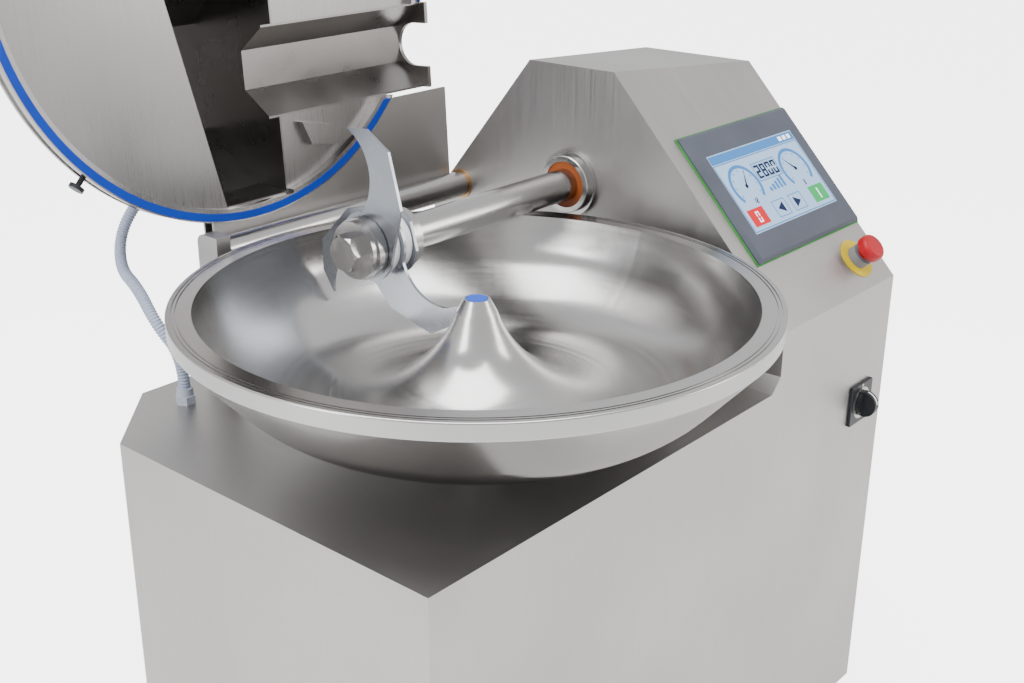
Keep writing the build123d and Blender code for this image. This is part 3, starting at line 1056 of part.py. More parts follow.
ESTOP_COLLAR_RADIUS = 17.0
ESTOP_COLLAR_TOP = 14.0
ESTOP_STEM_RADIUS = 9.0
ESTOP_HEAD_LOW = 22.0
ESTOP_HEAD_TOP = 38.0
CONTROL_THREAD_RADIUS = 11.0
RING_SHEET = 1.5
estop_ring = panel_rod(ESTOP_RING_RADIUS, 0, RING_SHEET) - panel_rod(CONTROL_THREAD_RADIUS + 0.5, -5, 5)
estop_body = panel_rod(ESTOP_COLLAR_RADIUS, RING_SHEET, ESTOP_COLLAR_TOP)
estop_body = estop_body + panel_rod(CONTROL_THREAD_RADIUS, -22, RING_SHEET)
estop_body = estop_body + panel_box(30, 42, -60, -22)
estop_body = estop_body - panel_rod(ESTOP_STEM_RADIUS + 0.05, -12, 40)
head = panel_rod(ESTOP_HEAD_RADIUS, ESTOP_HEAD_LOW, ESTOP_HEAD_TOP)
head = head.fillet(6.5, head.faces().sort_by(Axis.Z)[-1].edges())
head = head.fillet(2.0, head.faces().sort_by(Axis.Z)[0].edges())
estop_button = head + panel_rod(ESTOP_STEM_RADIUS, -6, ESTOP_HEAD_LOW + 2)
save("estop_ring", on_panel(estop_ring, ESTOP_U, ESTOP_V))
save("estop_body", on_panel(estop_body, ESTOP_U, ESTOP_V))
save("estop_button", on_panel(estop_button, ESTOP_U, ESTOP_V))

SWITCH_PLATE_THICKNESS = 5.0
SWITCH_KNOB_RADIUS = 17.5
SWITCH_STEM_RADIUS = 6.0
front_plane = Plane(
    origin=(SWITCH_X, FRONT, SWITCH_Z), x_dir=(1, 0, 0), z_dir=(0, -1, 0))
plate_box = panel_box(SWITCH_PLATE, SWITCH_PLATE, 0, SWITCH_PLATE_THICKNESS)
plate_box = plate_box.fillet(4, plate_box.edges().filter_by(Axis.Z))
plate_box = plate_box.chamfer(1.0, None, plate_box.faces().sort_by(Axis.Z)[-1].edges())
plate_box = plate_box + panel_rod(CONTROL_THREAD_RADIUS, -16, 1) + panel_box(46, 46, -50, -16)
plate_box = plate_box - panel_rod(SWITCH_STEM_RADIUS + 0.05, -30, 20)
save("switch_plate", front_plane * plate_box)
SWITCH_DISC_HEIGHT = 5.5
SWITCH_WING_WIDTH = 11.0
SWITCH_WING_RADIUS = 19.0
knob_low = SWITCH_PLATE_THICKNESS + 0.5
wing_centre = knob_low + SWITCH_DISC_HEIGHT
wing = Pos(0, 0, wing_centre) * Rot(0, 90, 0) * Cylinder(SWITCH_WING_RADIUS, SWITCH_WING_WIDTH)
wing = wing & panel_box(2 * SWITCH_WING_RADIUS, 2 * SWITCH_WING_RADIUS + 2, knob_low,
                        wing_centre + SWITCH_WING_RADIUS + 1)
turn_knob = panel_rod(SWITCH_KNOB_RADIUS, knob_low, wing_centre) + wing
turn_knob = turn_knob + panel_rod(SWITCH_STEM_RADIUS, -20, knob_low + 2)
save("switch_knob", front_plane * turn_knob)

# ======================= electrics in the cabinet =======================
ELECTRICAL_WIDTH = 220.0
ELECTRICAL_DEPTH = 130.0
ELECTRICAL_HEIGHT = 360.0
ELECTRICAL_SHEET = 2.0
ELECTRICAL_LEG = 50.0
ELECTRICAL_LEG_HALF = 15.0
MODULE_HEIGHT = 90.0
MODULE_DEPTH = 39.0
MODULE_INSET = 10.0
box_x0 = -cross_x - half_tube
box_x1 = box_x0 + ELECTRICAL_WIDTH
box_y1 = half_tube + ELECTRICAL_DEPTH
box_y0 = half_tube
box_z0 = FRAME_TOP + ELECTRICAL_LEG
box_z1 = box_z0 + ELECTRICAL_HEIGHT
skin = ELECTRICAL_SHEET
electrical_box = block(box_x0, box_x1, box_y0, box_y1, box_z0, box_z1)
electrical_box = electrical_box - block(box_x0 + skin, box_x1 - skin, box_y0 - 10, box_y1 - skin,
                                        box_z0 + skin, box_z1 - skin)
for share in (0.28, 0.61):
    z = box_z0 + ELECTRICAL_HEIGHT * share
    electrical_box = electrical_box + block(
        box_x0 + MODULE_INSET, box_x1 - MODULE_INSET, box_y1 - skin - MODULE_DEPTH, box_y1 - skin,
        z, z + MODULE_HEIGHT)
leg_y = (box_y0 + box_y1) / 2
electrical_box = electrical_box + block(
    -cross_x - ELECTRICAL_LEG_HALF, -cross_x + ELECTRICAL_LEG_HALF, leg_y - ELECTRICAL_LEG_HALF,
    leg_y + ELECTRICAL_LEG_HALF, FRAME_TOP, box_z0)
save("electrical_box", electrical_box)

# ======================= cable tube to the lid =======================
def gland(x, y, z):
    nut_part = Pos(x, y, z) * extrude(RegularPolygon(GLAND_RADIUS, 6), GLAND_NUT_HEIGHT)
    return nut_part + rod_z(x, y, z + GLAND_NUT_HEIGHT - 1, z + GLAND_HEIGHT, GLAND_RADIUS - 3)


deck_gland = gland(GLAND_X, GLAND_Y, DECK_HEIGHT) + rod_z(
    GLAND_X, GLAND_Y, DECK_HEIGHT - GLAND_THREAD_LENGTH, DECK_HEIGHT + 1, GLAND_THREAD_RADIUS - 0.1)
save("deck_gland", deck_gland)
lid_gland_x = BOWL_X - LID_GLAND_LEFT_OF_BOWL_AXIS
lid_gland_y = BOWL_Y + LID_GLAND_BEHIND_BOWL_AXIS
save("lid_gland", opened(gland(lid_gland_x, lid_gland_y, left_plate_top)))


def opened_point(x, y, z):
    angle = math.radians(-LID_OPEN_ANGLE)
    dy = y - HINGE_Y
    dz = z - HINGE_Z
    return (x, HINGE_Y + dy * math.cos(angle) - dz * math.sin(angle),
            HINGE_Z + dy * math.sin(angle) + dz * math.cos(angle))


# The tube leaves both glands straight. Its bends are given from the deck gland's foot: right, back and up.
CONDUIT_LEAD = 44.0
CONDUIT_BENDS = ((-20, 20, 108), (-10, 67, 143), (8, 132, 151), (32, 160, 190), (58, 146, 235))
conduit_start = (GLAND_X, GLAND_Y, DECK_HEIGHT + GLAND_HEIGHT)
conduit_end = opened_point(lid_gland_x, lid_gland_y, left_plate_top + GLAND_HEIGHT)
route = [conduit_start, (GLAND_X, GLAND_Y, DECK_HEIGHT + GLAND_HEIGHT + CONDUIT_LEAD)]
route += [(GLAND_X + right, GLAND_Y + back, DECK_HEIGHT + up) for right, back, up in CONDUIT_BENDS]
route.append(opened_point(lid_gland_x, lid_gland_y, left_plate_top + GLAND_HEIGHT + CONDUIT_LEAD))
route.append(conduit_end)


def bend_radius(before, corner, after):
    """The arc that takes up 45 percent of the shorter of the two runs at a corner."""
    first = Vector(*corner) - Vector(*before)
    second = Vector(*after) - Vector(*corner)
    turn = math.radians(first.get_angle(second))
    return 0.45 * min(first.length, second.length) / math.tan(turn / 2)


radii = [bend_radius(route[i - 1], route[i], route[i + 1]) for i in range(1, len(route) - 1)]
print("conduit bend radii", [round(radius, 1) for radius in radii])
path = FilletPolyline(*route, radius=radii)
conduit = sweep(Plane(origin=conduit_start, z_dir=path % 0) * Circle(CONDUIT_RADIUS), path=path)
print("conduit length", round(path.length, 1), "volume over section",
      round(conduit.volume / (math.pi * CONDUIT_RADIUS ** 2), 1))
save("conduit", conduit)
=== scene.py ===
import json
import math

import bpy
from mathutils import Euler, Matrix, Vector


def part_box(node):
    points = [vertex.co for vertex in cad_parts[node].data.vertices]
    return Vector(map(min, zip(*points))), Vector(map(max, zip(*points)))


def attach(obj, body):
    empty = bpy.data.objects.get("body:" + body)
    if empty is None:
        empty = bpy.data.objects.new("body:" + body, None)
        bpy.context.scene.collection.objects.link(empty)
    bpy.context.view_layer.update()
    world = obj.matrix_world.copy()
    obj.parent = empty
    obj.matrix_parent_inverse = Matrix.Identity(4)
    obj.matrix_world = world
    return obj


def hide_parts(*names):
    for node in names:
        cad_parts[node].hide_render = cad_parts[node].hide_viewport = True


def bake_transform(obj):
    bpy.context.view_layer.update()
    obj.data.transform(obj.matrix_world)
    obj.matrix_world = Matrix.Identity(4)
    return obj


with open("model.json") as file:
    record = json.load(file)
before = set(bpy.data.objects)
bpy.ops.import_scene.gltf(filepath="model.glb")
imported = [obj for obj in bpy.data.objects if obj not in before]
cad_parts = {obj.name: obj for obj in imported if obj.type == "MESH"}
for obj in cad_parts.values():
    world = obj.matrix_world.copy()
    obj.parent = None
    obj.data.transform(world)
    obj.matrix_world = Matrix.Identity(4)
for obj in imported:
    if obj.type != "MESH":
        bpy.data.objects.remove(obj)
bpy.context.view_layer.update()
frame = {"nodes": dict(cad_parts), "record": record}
nodes = frame["nodes"]

# ---------------------------------------------------------------- camera
CAMERA_PLACE = (-1.2959, -1.1020, 1.4374)
CAMERA_YAW = 48.37
CAMERA_PITCH = 21.78
CAMERA_ROLL = -0.08
FOCAL_LENGTH = 47.41
SENSOR_WIDTH = 36.0
SHIFT_X = 0.0269
SHIFT_Y = 0.0022


def make_camera():
    data = bpy.data.cameras.new("camera")
    data.lens = FOCAL_LENGTH
    data.sensor_width = SENSOR_WIDTH
    data.shift_x = SHIFT_X
    data.shift_y = SHIFT_Y
    camera = bpy.data.objects.new("camera", data)
    bpy.context.scene.collection.objects.link(camera)
    camera.location = CAMERA_PLACE
    turn = Euler((math.radians(90 - CAMERA_PITCH), 0, math.radians(-CAMERA_YAW)), "XYZ")
    roll = Matrix.Rotation(math.radians(CAMERA_ROLL), 4, "Z")
    camera.rotation_euler = (turn.to_matrix().to_4x4() @ roll).to_euler()
    bpy.context.scene.camera = camera


# ---------------------------------------------------------------- material helpers
def new_material(name, colour, roughness, metallic=0.0):
    """A material with its shader's plain values set, and the shader's node."""
    material = bpy.data.materials.new(name)
    material.use_nodes = True
    shader = material.node_tree.nodes["Principled BSDF"]
    shader.inputs["Base Color"].default_value = (*colour, 1)
    shader.inputs["Roughness"].default_value = roughness
    shader.inputs["Metallic"].default_value = metallic
    return material, shader


def vector_maths(tree, operation, first, second):
    node = tree.nodes.new("ShaderNodeVectorMath")
    node.operation = operation
    tree.links.new(first, node.inputs[0])
    if hasattr(second, "links"):
        tree.links.new(second, node.inputs[1])
    else:
        node.inputs[1].default_value = second
    return node.outputs[0]


def noise(tree, place, stretch, detail=3.0):
    """Noise of one cell a metre, squeezed by stretch along X, Y and Z."""
    texture = tree.nodes.new("ShaderNodeTexNoise")
    texture.inputs["Scale"].default_value = 1.0
    texture.inputs["Detail"].default_value = detail
    tree.links.new(vector_maths(tree, "MULTIPLY", place, stretch), texture.inputs["Vector"])
    return texture.outputs["Fac"]


def spread(tree, value, low, high, low_in=0.3, high_in=0.7):
    """The value's middle range, moved to low..high."""
    node = tree.nodes.new("ShaderNodeMapRange")
    node.inputs["From Min"].default_value = low_in
    node.inputs["From Max"].default_value = high_in
    node.inputs["To Min"].default_value = low
    node.inputs["To Max"].default_value = high
    tree.links.new(value, node.inputs["Value"])
    return node.outputs["Result"]


def mix_colours(tree, factor, dark, light):
    node = tree.nodes.new("ShaderNodeMix")
    node.data_type = "RGBA"
    node.inputs[6].default_value = (*dark, 1)
    node.inputs[7].default_value = (*light, 1)
    tree.links.new(factor, node.inputs["Factor"])
    return node.outputs[2]


def mix_values(tree, factor, first, second):
    node = tree.nodes.new("ShaderNodeMix")
    tree.links.new(factor, node.inputs["Factor"])
    tree.links.new(first, node.inputs[2])
    tree.links.new(second, node.inputs[3])
    return node.outputs[0]


def bump(tree, shader, height, strength, distance):
    node = tree.nodes.new("ShaderNodeBump")
    node.inputs["Strength"].default_value = strength
    node.inputs["Distance"].default_value = distance
    tree.links.new(height, node.inputs["Height"])
    tree.links.new(node.outputs[0], shader.inputs["Normal"])


def object_place(tree):
    return tree.nodes.new("ShaderNodeTexCoord").outputs["Object"]


def facing(tree, axis):
    """1 where the surface faces along the given axis of its own object, else 0."""
    normal = tree.nodes.new("ShaderNodeTexCoord").outputs["Normal"]
    split = tree.nodes.new("ShaderNodeSeparateXYZ")
    tree.links.new(normal, split.inputs[0])
    size = tree.nodes.new("ShaderNodeMath")
    size.operation = "ABSOLUTE"
    tree.links.new(split.outputs[axis], size.inputs[0])
    return spread(tree, size.outputs[0], 0, 1, 0.6, 0.8)


# ---------------------------------------------------------------- metals and plastics
LINE_DEPTH = 0.0003
GRAIN_DEPTH = 0.0002
BRUSH_LINES = 900
BRUSH_LENGTHS = 7
BOWL_RINGS = 2600
BOWL_RING_STRENGTH = 0.012
BOWL_CONTRAST = 0.03
BOWL_ANISOTROPY = 0.75
SMOOTH_CLOUDS = (14, 14, 14)
STEEL_CLOUDS = (4, 4, 4)
PLASTIC_CLOUDS = (20, 20, 20)
GLOSS_LESS = 0.05
GLOSS_MORE = 0.07


def steel_finish(material, shader, lines, colour, roughness, strength, contrast=0.07):
    """Colour clouds, varied gloss and fine relief that all stainless pieces share."""
    tree = material.node_tree
    clouds = noise(tree, object_place(tree), STEEL_CLOUDS, 2.0)
    dark = [c * (1 - contrast) for c in colour]
    light = [min(1, c * (1 + contrast / 2)) for c in colour]
    tree.links.new(mix_colours(tree, spread(tree, clouds, 0, 1), dark, light), shader.inputs["Base Color"])
    gloss = spread(tree, lines, roughness - GLOSS_LESS, roughness + GLOSS_MORE)
    tree.links.new(gloss, shader.inputs["Roughness"])
    bump(tree, shader, lines, strength, LINE_DEPTH)


def stretch_shine(tree, shader, anisotropy, axis):
    """Highlights drawn out across the rings that turning about the axis leaves."""
    shader.inputs["Anisotropic"].default_value = anisotropy
    tangent = tree.nodes.new("ShaderNodeTangent")
    tangent.direction_type = "RADIAL"
    tangent.axis = axis
    tree.links.new(tangent.outputs[0], shader.inputs["Tangent"])


def sheet_steel(name, colour, roughness, strength=0.12):
    """Brushed sheet. The lines run up each wall and front to back over each top."""
    material, shader = new_material(name, colour, roughness, 1.0)
    tree = material.node_tree
    place = object_place(tree)
    fronts = noise(tree, place, (BRUSH_LINES, BRUSH_LENGTHS, BRUSH_LENGTHS), 3.0)
    sides = noise(tree, place, (BRUSH_LENGTHS, BRUSH_LINES, BRUSH_LENGTHS), 3.0)
    lines = mix_values(tree, facing(tree, "X"), fronts, sides)
    steel_finish(material, shader, lines, colour, roughness, strength)
    return material


def turned_steel(name, colour, roughness, stretch, strength=0.08, anisotropy=0.0, turn_axis="Z"):
    """Turned, ground or smooth steel, with fine lines where the stretch is large."""
    material, shader = new_material(name, colour, roughness, 1.0)
    tree = material.node_tree
    lines = noise(tree, object_place(tree), stretch, 2.0)
    steel_finish(material, shader, lines, colour, roughness, strength)
    if anisotropy:
        stretch_shine(tree, shader, anisotropy, turn_axis)
    return material


def bowl_steel(name, colour, roughness):
    """Polished steel with rings about the bowl's upright axis."""
    material, shader = new_material(name, colour, roughness, 1.0)
    tree = material.node_tree
    low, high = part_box("bowl")
    centre = (-(low[0] + high[0]) / 2, -(low[1] + high[1]) / 2, 0)
    place = vector_maths(tree, "ADD", object_place(tree), centre)
    flat = vector_maths(tree, "MULTIPLY", place, (1, 1, 0))
    length = tree.nodes.new("ShaderNodeVectorMath")
    length.operation = "LENGTH"
    tree.links.new(flat, length.inputs[0])
    split = tree.nodes.new("ShaderNodeSeparateXYZ")
    tree.links.new(place, split.inputs[0])
    rings = tree.nodes.new("ShaderNodeCombineXYZ")
    tree.links.new(length.outputs["Value"], rings.inputs["X"])
    tree.links.new(split.outputs["Z"], rings.inputs["Z"])
    lines = noise(tree, rings.outputs[0], (BOWL_RINGS, 0, BOWL_RINGS), 1.0)
    steel_finish(material, shader, lines, colour, roughness, BOWL_RING_STRENGTH, BOWL_CONTRAST)
    stretch_shine(tree, shader, BOWL_ANISOTROPY, "Z")
    return material


def grained(name, colour, roughness, grain=900.0, strength=0.15, metallic=0.0):
    """Moulded plastic, rubber, paint or cast metal with a fine even grain."""
    material, shader = new_material(name, colour, roughness, metallic)
    tree = material.node_tree
    place = object_place(tree)
    speck = noise(tree, place, (grain, grain, grain), 3.0)
    clouds = noise(tree, place, PLASTIC_CLOUDS, 2.0)
    dark = [c * 0.88 for c in colour]
    light = [min(1, c * 1.08) for c in colour]
    tree.links.new(mix_colours(tree, spread(tree, clouds, 0, 1), dark, light), shader.inputs["Base Color"])
    tree.links.new(spread(tree, clouds, roughness - 0.05, roughness + 0.05), shader.inputs["Roughness"])
    shader.inputs["Specular IOR Level"].default_value = 0.25
    bump(tree, shader, speck, strength, GRAIN_DEPTH)
    return material


def screen_colour(name, colour, glow):
    """A lit patch of the operator panel's picture."""
    material, shader = new_material(name, colour, 0.25)
    tree = material.node_tree
    rows = noise(tree, object_place(tree), (2500, 2500, 2500), 1.0)
    dark = [c * 0.93 for c in colour]
    tree.links.new(mix_colours(tree, spread(tree, rows, 0, 1), dark, colour), shader.inputs["Base Color"])
    shader.inputs["Emission Color"].default_value = (*colour, 1)
    shader.inputs["Emission Strength"].default_value = glow
    shader.inputs["Specular IOR Level"].default_value = 0.12
    return material


STEEL = (0.40, 0.388, 0.378)
BRIGHT_STEEL = (0.42, 0.412, 0.405)
# A darker copy of the steel's colour for the knife hood: painted shade inside the hood.
HOOD_PAINTED_SHADE_COLOUR = (0.24, 0.232, 0.228)
MATERIALS = {
    "brushed_panel": sheet_steel("brushed_panel", STEEL, 0.4),
    "polished_steel": bowl_steel("polished_steel", BRIGHT_STEEL, 0.19),
    "machined_steel": turned_steel("machined_steel", BRIGHT_STEEL, 0.2, (1500, 60, 60), 0.05, 0.5, "X"),
    "blade_steel": turned_steel("blade_steel", (0.31, 0.33, 0.36), 0.24, (25, 25, 25), 0.0),
    "bearing_steel": turned_steel("bearing_steel", BRIGHT_STEEL, 0.15, (900, 900, 900), 0.03),
    "frame_steel": grained("frame_steel", (0.30, 0.31, 0.32), 0.5),
    "fastener": turned_steel("fastener", STEEL, 0.3, (500, 500, 500), 0.05),
    "cast_iron": grained("cast_iron", (0.10, 0.105, 0.11), 0.6, 500.0, 0.5, 0.3),
    "pulley_aluminium": turned_steel("pulley_aluminium", (0.7, 0.7, 0.71), 0.35, (60, 60, 900), 0.05),
    "motor_paint": grained("motor_paint", (0.075, 0.10, 0.13), 0.42),
    "bronze": turned_steel("bronze", (0.55, 0.33, 0.16), 0.35, (900, 90, 90), 0.05),
    "blue_plastic": grained("blue_plastic", (0.004, 0.06, 0.45), 0.4),
    "white_plastic": grained("white_plastic", (0.80, 0.81, 0.83), 0.45),
    "black_plastic": grained("black_plastic", (0.012, 0.013, 0.016), 0.34),
    "bezel_plastic": grained("bezel_plastic", (0.06, 0.067, 0.088), 0.55),
    "yellow_plastic": grained("yellow_plastic", (0.52, 0.37, 0.0), 0.4),
    "red_plastic": grained("red_plastic", (0.33, 0.004, 0.009), 0.35),
    "gland_plastic": grained("gland_plastic", (0.36, 0.39, 0.46), 0.4),
    "conduit_plastic": grained("conduit_plastic", (0.30, 0.34, 0.44), 0.42),
    "blue_rubber": grained("blue_rubber", (0.0, 0.03, 0.32), 0.5),
    "black_rubber": grained("black_rubber", (0.012, 0.012, 0.012), 0.65),
    "seal_rubber": grained("seal_rubber", (0.25, 0.06, 0.012), 0.5),
    "green_rubber": grained("green_rubber", (0.03, 0.23, 0.03), 0.5),
    "screen_glass": screen_colour("screen_glass", (0.30, 0.44, 0.62), 0.18),
}
# The lid's plates and the shaft tunnel get darker copies of the steel's colour: painted shade on the lid's
# underside.
LID_STEEL_PAINTED_SHADE = sheet_steel("lid_steel_painted_shade", (0.29, 0.282, 0.277), 0.3, 0.04)
TUNNEL_STEEL_PAINTED_SHADE = turned_steel("tunnel_steel_painted_shade", (0.25, 0.238, 0.230), 0.3, SMOOTH_CLOUDS, 0.0)
# The knife hood's steel takes the darker copy of the steel's colour: painted shade inside the hood.
HOOD_STEEL_PAINTED_SHADE = turned_steel("hood_steel_painted_shade", HOOD_PAINTED_SHADE_COLOUR, 0.28, SMOOTH_CLOUDS, 0.0)
COLLAR_GREY = grained("collar_grey", (0.16, 0.165, 0.18), 0.4)
# The lid's plates, the shaft tunnel and the knife hood take the steel copies with painted shade.
NODE_MATERIALS = {
    "knife_hood": HOOD_STEEL_PAINTED_SHADE,
    "lid_plates": LID_STEEL_PAINTED_SHADE,
    "shaft_tunnel": TUNNEL_STEEL_PAINTED_SHADE,
    "lid_ring": MATERIALS["machined_steel"],
    "estop_body": COLLAR_GREY,
}


def dress_nodes():
    for part in frame["record"]["subparts"]:
        mesh = nodes[part["node"]].data
        mesh.materials.clear()
        material = NODE_MATERIALS.get(part["node"], MATERIALS[part["material_slot"]])
        mesh.materials.append(material)


# ---------------------------------------------------------------- mesh helpers
def mesh_piece(name, points, faces, material, body, smooth=False):
    mesh = bpy.data.meshes.new(name)
    mesh.from_pydata(points, [], faces)
    mesh.validate()
    mesh.materials.append(material)
    for face in mesh.polygons:
        face.use_smooth = smooth
    piece = bpy.data.objects.new(name, mesh)
    bpy.context.scene.collection.objects.link(piece)
    if body:
        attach(piece, body)
    return piece


class Sheet:
    """Thin raised shapes on a plane, gathered into one mesh."""

    def __init__(self, origin, right, up, low, high):
        self.origin = Vector(origin)
        self.right = Vector(right)
        self.up = Vector(up)
        self.out = self.right.cross(self.up)
        self.low = low
        self.high = high
        self.points = []
        self.faces = []

    def place(self, u, v, h):
        return tuple(self.origin + self.right * u + self.up * v + self.out * h)

    def shape(self, outline):
        """A flat shape with the outline's corners given anticlockwise."""
        first = len(self.points)
        count = len(outline)
        for h in (self.low, self.high):
            self.points += [self.place(u, v, h) for u, v in outline]
        self.faces.append([first + i for i in reversed(range(count))])
        self.faces.append([first + count + i for i in range(count)])
        for i in range(count):
            j = (i + 1) % count
            self.faces.append([first + i, first + j, first + count + j, first + count + i])

    def bar(self, u0, u1, v0, v1):
        self.shape([(u0, v0), (u1, v0), (u1, v1), (u0, v1)])

    def frame(self, u0, u1, v0, v1, line):
        self.bar(u0, u1, v0, v0 + line)
        self.bar(u0, u1, v1 - line, v1)
        self.bar(u0, u0 + line, v0 + line, v1 - line)
        self.bar(u1 - line, u1, v0 + line, v1 - line)

    def arc(self, u, v, radius, width, start, end, steps=28):
        """A curved band about u, v between two angles in degrees."""
        outline = []
        for r, turns in ((radius, range(steps + 1)), (radius - width, range(steps, -1, -1))):
            for i in turns:
                angle = math.radians(start + (end - start) * i / steps)
                outline.append((u + r * math.cos(angle), v + r * math.sin(angle)))
        for i in range(steps):
            last = len(outline) - 1
            self.shape([outline[last - i], outline[i], outline[i + 1], outline[last - i - 1]])

    def disc(self, u, v, radius, steps=32):
        self.shape([(u + radius * math.cos(2 * math.pi * i / steps),
                     v + radius * math.sin(2 * math.pi * i / steps)) for i in range(steps)])

    def finish(self, name, material, body, slot):
        return mesh_piece(name, self.points, self.faces, material, body)


# ---------------------------------------------------------------- operator panel
MM = 0.001
PANEL_RISE = 302.9
PANEL_RUN = 287.4
PANEL_LEAN = math.atan2(PANEL_RISE, PANEL_RUN)
screen_low, screen_high = (Vector(corner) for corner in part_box("hmi_screen"))
PANEL_UP = Vector((0, math.cos(PANEL_LEAN), math.sin(PANEL_LEAN)))
PANEL_OUT = Vector((0, -math.sin(PANEL_LEAN), math.cos(PANEL_LEAN)))
SCREEN_HALF_THICKNESS = 1.5 * MM
SCREEN_WIDTH = 223 * MM
SCREEN_HEIGHT = 126 * MM
SCREEN_FACE = (screen_low + screen_high) / 2 + PANEL_OUT * SCREEN_HALF_THICKNESS

# The picture's shapes are placed from the screen's middle, across and up.
PICTURE_THICKNESS = 0.25 * MM
PICTURE_MARGIN = 2 * MM
TITLE_HEIGHT = 13 * MM
TITLE_GAP = 1.5 * MM
BORDER_LINE = 1.2 * MM
BOX_LINE = 1.0 * MM
GAUGE_ACROSS = 66 * MM
GAUGE_UP = 5 * MM
GAUGE_RADIUS = 34 * MM
GAUGE_BAND = 5 * MM
GAUGE_START = -40
GAUGE_END = 220
MARK_RING = 25 * MM
MARK_RADIUS = 1.1 * MM
NEEDLE_LENGTH = 27 * MM
NEEDLE_HALF_WIDTH = 1.4 * MM
NEEDLE_HUB = 3 * MM
LEFT_NEEDLE_TURN = 60
RIGHT_NEEDLE_TURN = 130
NUMBER_BOX = (-30 * MM, 30 * MM, 4 * MM, 33 * MM)
BAR_COUNT = 5
BAR_START = -20 * MM
BAR_PITCH = 9 * MM
BAR_WIDTH = 5 * MM
BAR_FOOT = -14 * MM
FIRST_BAR_HEIGHT = 6 * MM
BAR_STEP = 3 * MM
BUTTON_LOW = -54 * MM
BUTTON_HIGH = -28 * MM
BUTTON_ACROSS = 82 * MM
BUTTON_HALF = 19 * MM
ARROW_BOX_ACROSS = 22 * MM
ARROW_BOX_HALF = 16 * MM
ARROW_TIP = 30 * MM
ARROW_BACK = 15 * MM
ARROW_MIDDLE = -41 * MM
ARROW_HALF = 8 * MM
STOP_RED = (0.55, 0.008, 0.02)
START_GREEN = (0.02, 0.33, 0.09)
SYMBOL_LOW = -50 * MM
SYMBOL_HIGH = -33 * MM
TITLE_MARK_COUNT = 3
TITLE_MARK_START = 70 * MM
TITLE_MARK_PITCH = 12 * MM
TITLE_MARK_WIDTH = 8 * MM
TITLE_MARK_LOW = 51 * MM
TITLE_MARK_HIGH = 58 * MM
DIGIT_STROKES = {
    "0": "abcdef", "1": "bc", "2": "abged", "3": "abgcd", "4": "fgbc", "5": "afgcd",
    "6": "afgedc", "7": "abc", "8": "abcdefg", "9": "abfgcd",
}


def picture_layer(level):
    """Shapes that lie on the screen, each level just over the last."""
    low = PICTURE_THICKNESS * level
    return Sheet(SCREEN_FACE, (1, 0, 0), PANEL_UP, low, low + PICTURE_THICKNESS)


def draw_digit(layer, digit, u, v, width, height, line):
    """A number in seven straight strokes, with its lower left corner at u, v."""
    half = height / 2
    strokes = {
        "a": (0, width, height - line, height),
        "d": (0, width, 0, line),
        "g": (0, width, half - line / 2, half + line / 2),
        "b": (width - line, width, half + line / 2, height - line),
        "c": (width - line, width, line, half - line / 2),
        "f": (0, line, half + line / 2, height - line),
        "e": (0, line, line, half - line / 2),
    }
    for key in DIGIT_STROKES[digit]:
        u0, u1, v0, v1 = strokes[key]
        layer.bar(u + u0, u + u1, v + v0, v + v1)


def draw_number(layer, number, u, v, width, height, line, gap):
    for i, digit in enumerate(number):
        draw_digit(layer, digit, u + i * (width + gap), v, width, height, line)


def draw_gauge(layer, middle):
    """A gauge's open ring with a row of marks inside it."""
    layer.arc(middle, GAUGE_UP, GAUGE_RADIUS, GAUGE_BAND, GAUGE_START, GAUGE_END)
    for turn in range(-30, 211, 30):
        angle = math.radians(turn)
        mark_u = middle + MARK_RING * math.cos(angle)
        mark_v = GAUGE_UP + MARK_RING * math.sin(angle)
        layer.disc(mark_u, mark_v, MARK_RADIUS, 12)


def draw_needle(layer, middle, turn):
    across = math.cos(math.radians(turn))
    up = math.sin(math.radians(turn))
    side_u = -up * NEEDLE_HALF_WIDTH
    side_v = across * NEEDLE_HALF_WIDTH
    layer.shape([(middle - side_u, GAUGE_UP - side_v),
                 (middle + across * NEEDLE_LENGTH, GAUGE_UP + up * NEEDLE_LENGTH),
                 (middle + side_u, GAUGE_UP + side_v)])
    layer.disc(middle, GAUGE_UP, NEEDLE_HUB, 20)


def draw_lines():
    """The title bar, border, gauges, number's box, bars and arrows' boxes, in blue."""
    half_u = SCREEN_WIDTH / 2 - PICTURE_MARGIN
    half_v = SCREEN_HEIGHT / 2 - PICTURE_MARGIN
    blue = picture_layer(0)
    blue.bar(-half_u, half_u, half_v - TITLE_HEIGHT, half_v)
    blue.frame(-half_u, half_u, -half_v, half_v - TITLE_HEIGHT - TITLE_GAP, BORDER_LINE)
    for middle in (-GAUGE_ACROSS, GAUGE_ACROSS):
        draw_gauge(blue, middle)
    blue.frame(*NUMBER_BOX, BOX_LINE)
    for i in range(BAR_COUNT):
        left = BAR_START + BAR_PITCH * i
        top = BAR_FOOT + FIRST_BAR_HEIGHT + BAR_STEP * i
        blue.bar(left, left + BAR_WIDTH, BAR_FOOT, top)
    for middle in (-ARROW_BOX_ACROSS, ARROW_BOX_ACROSS):
        blue.frame(middle - ARROW_BOX_HALF, middle + ARROW_BOX_HALF, BUTTON_LOW, BUTTON_HIGH, BOX_LINE)
    colour = screen_colour("picture_blue", (0.04, 0.17, 0.42), 0.15)
    blue.finish("panel_lines", colour, "cabinet", "screen_glass")


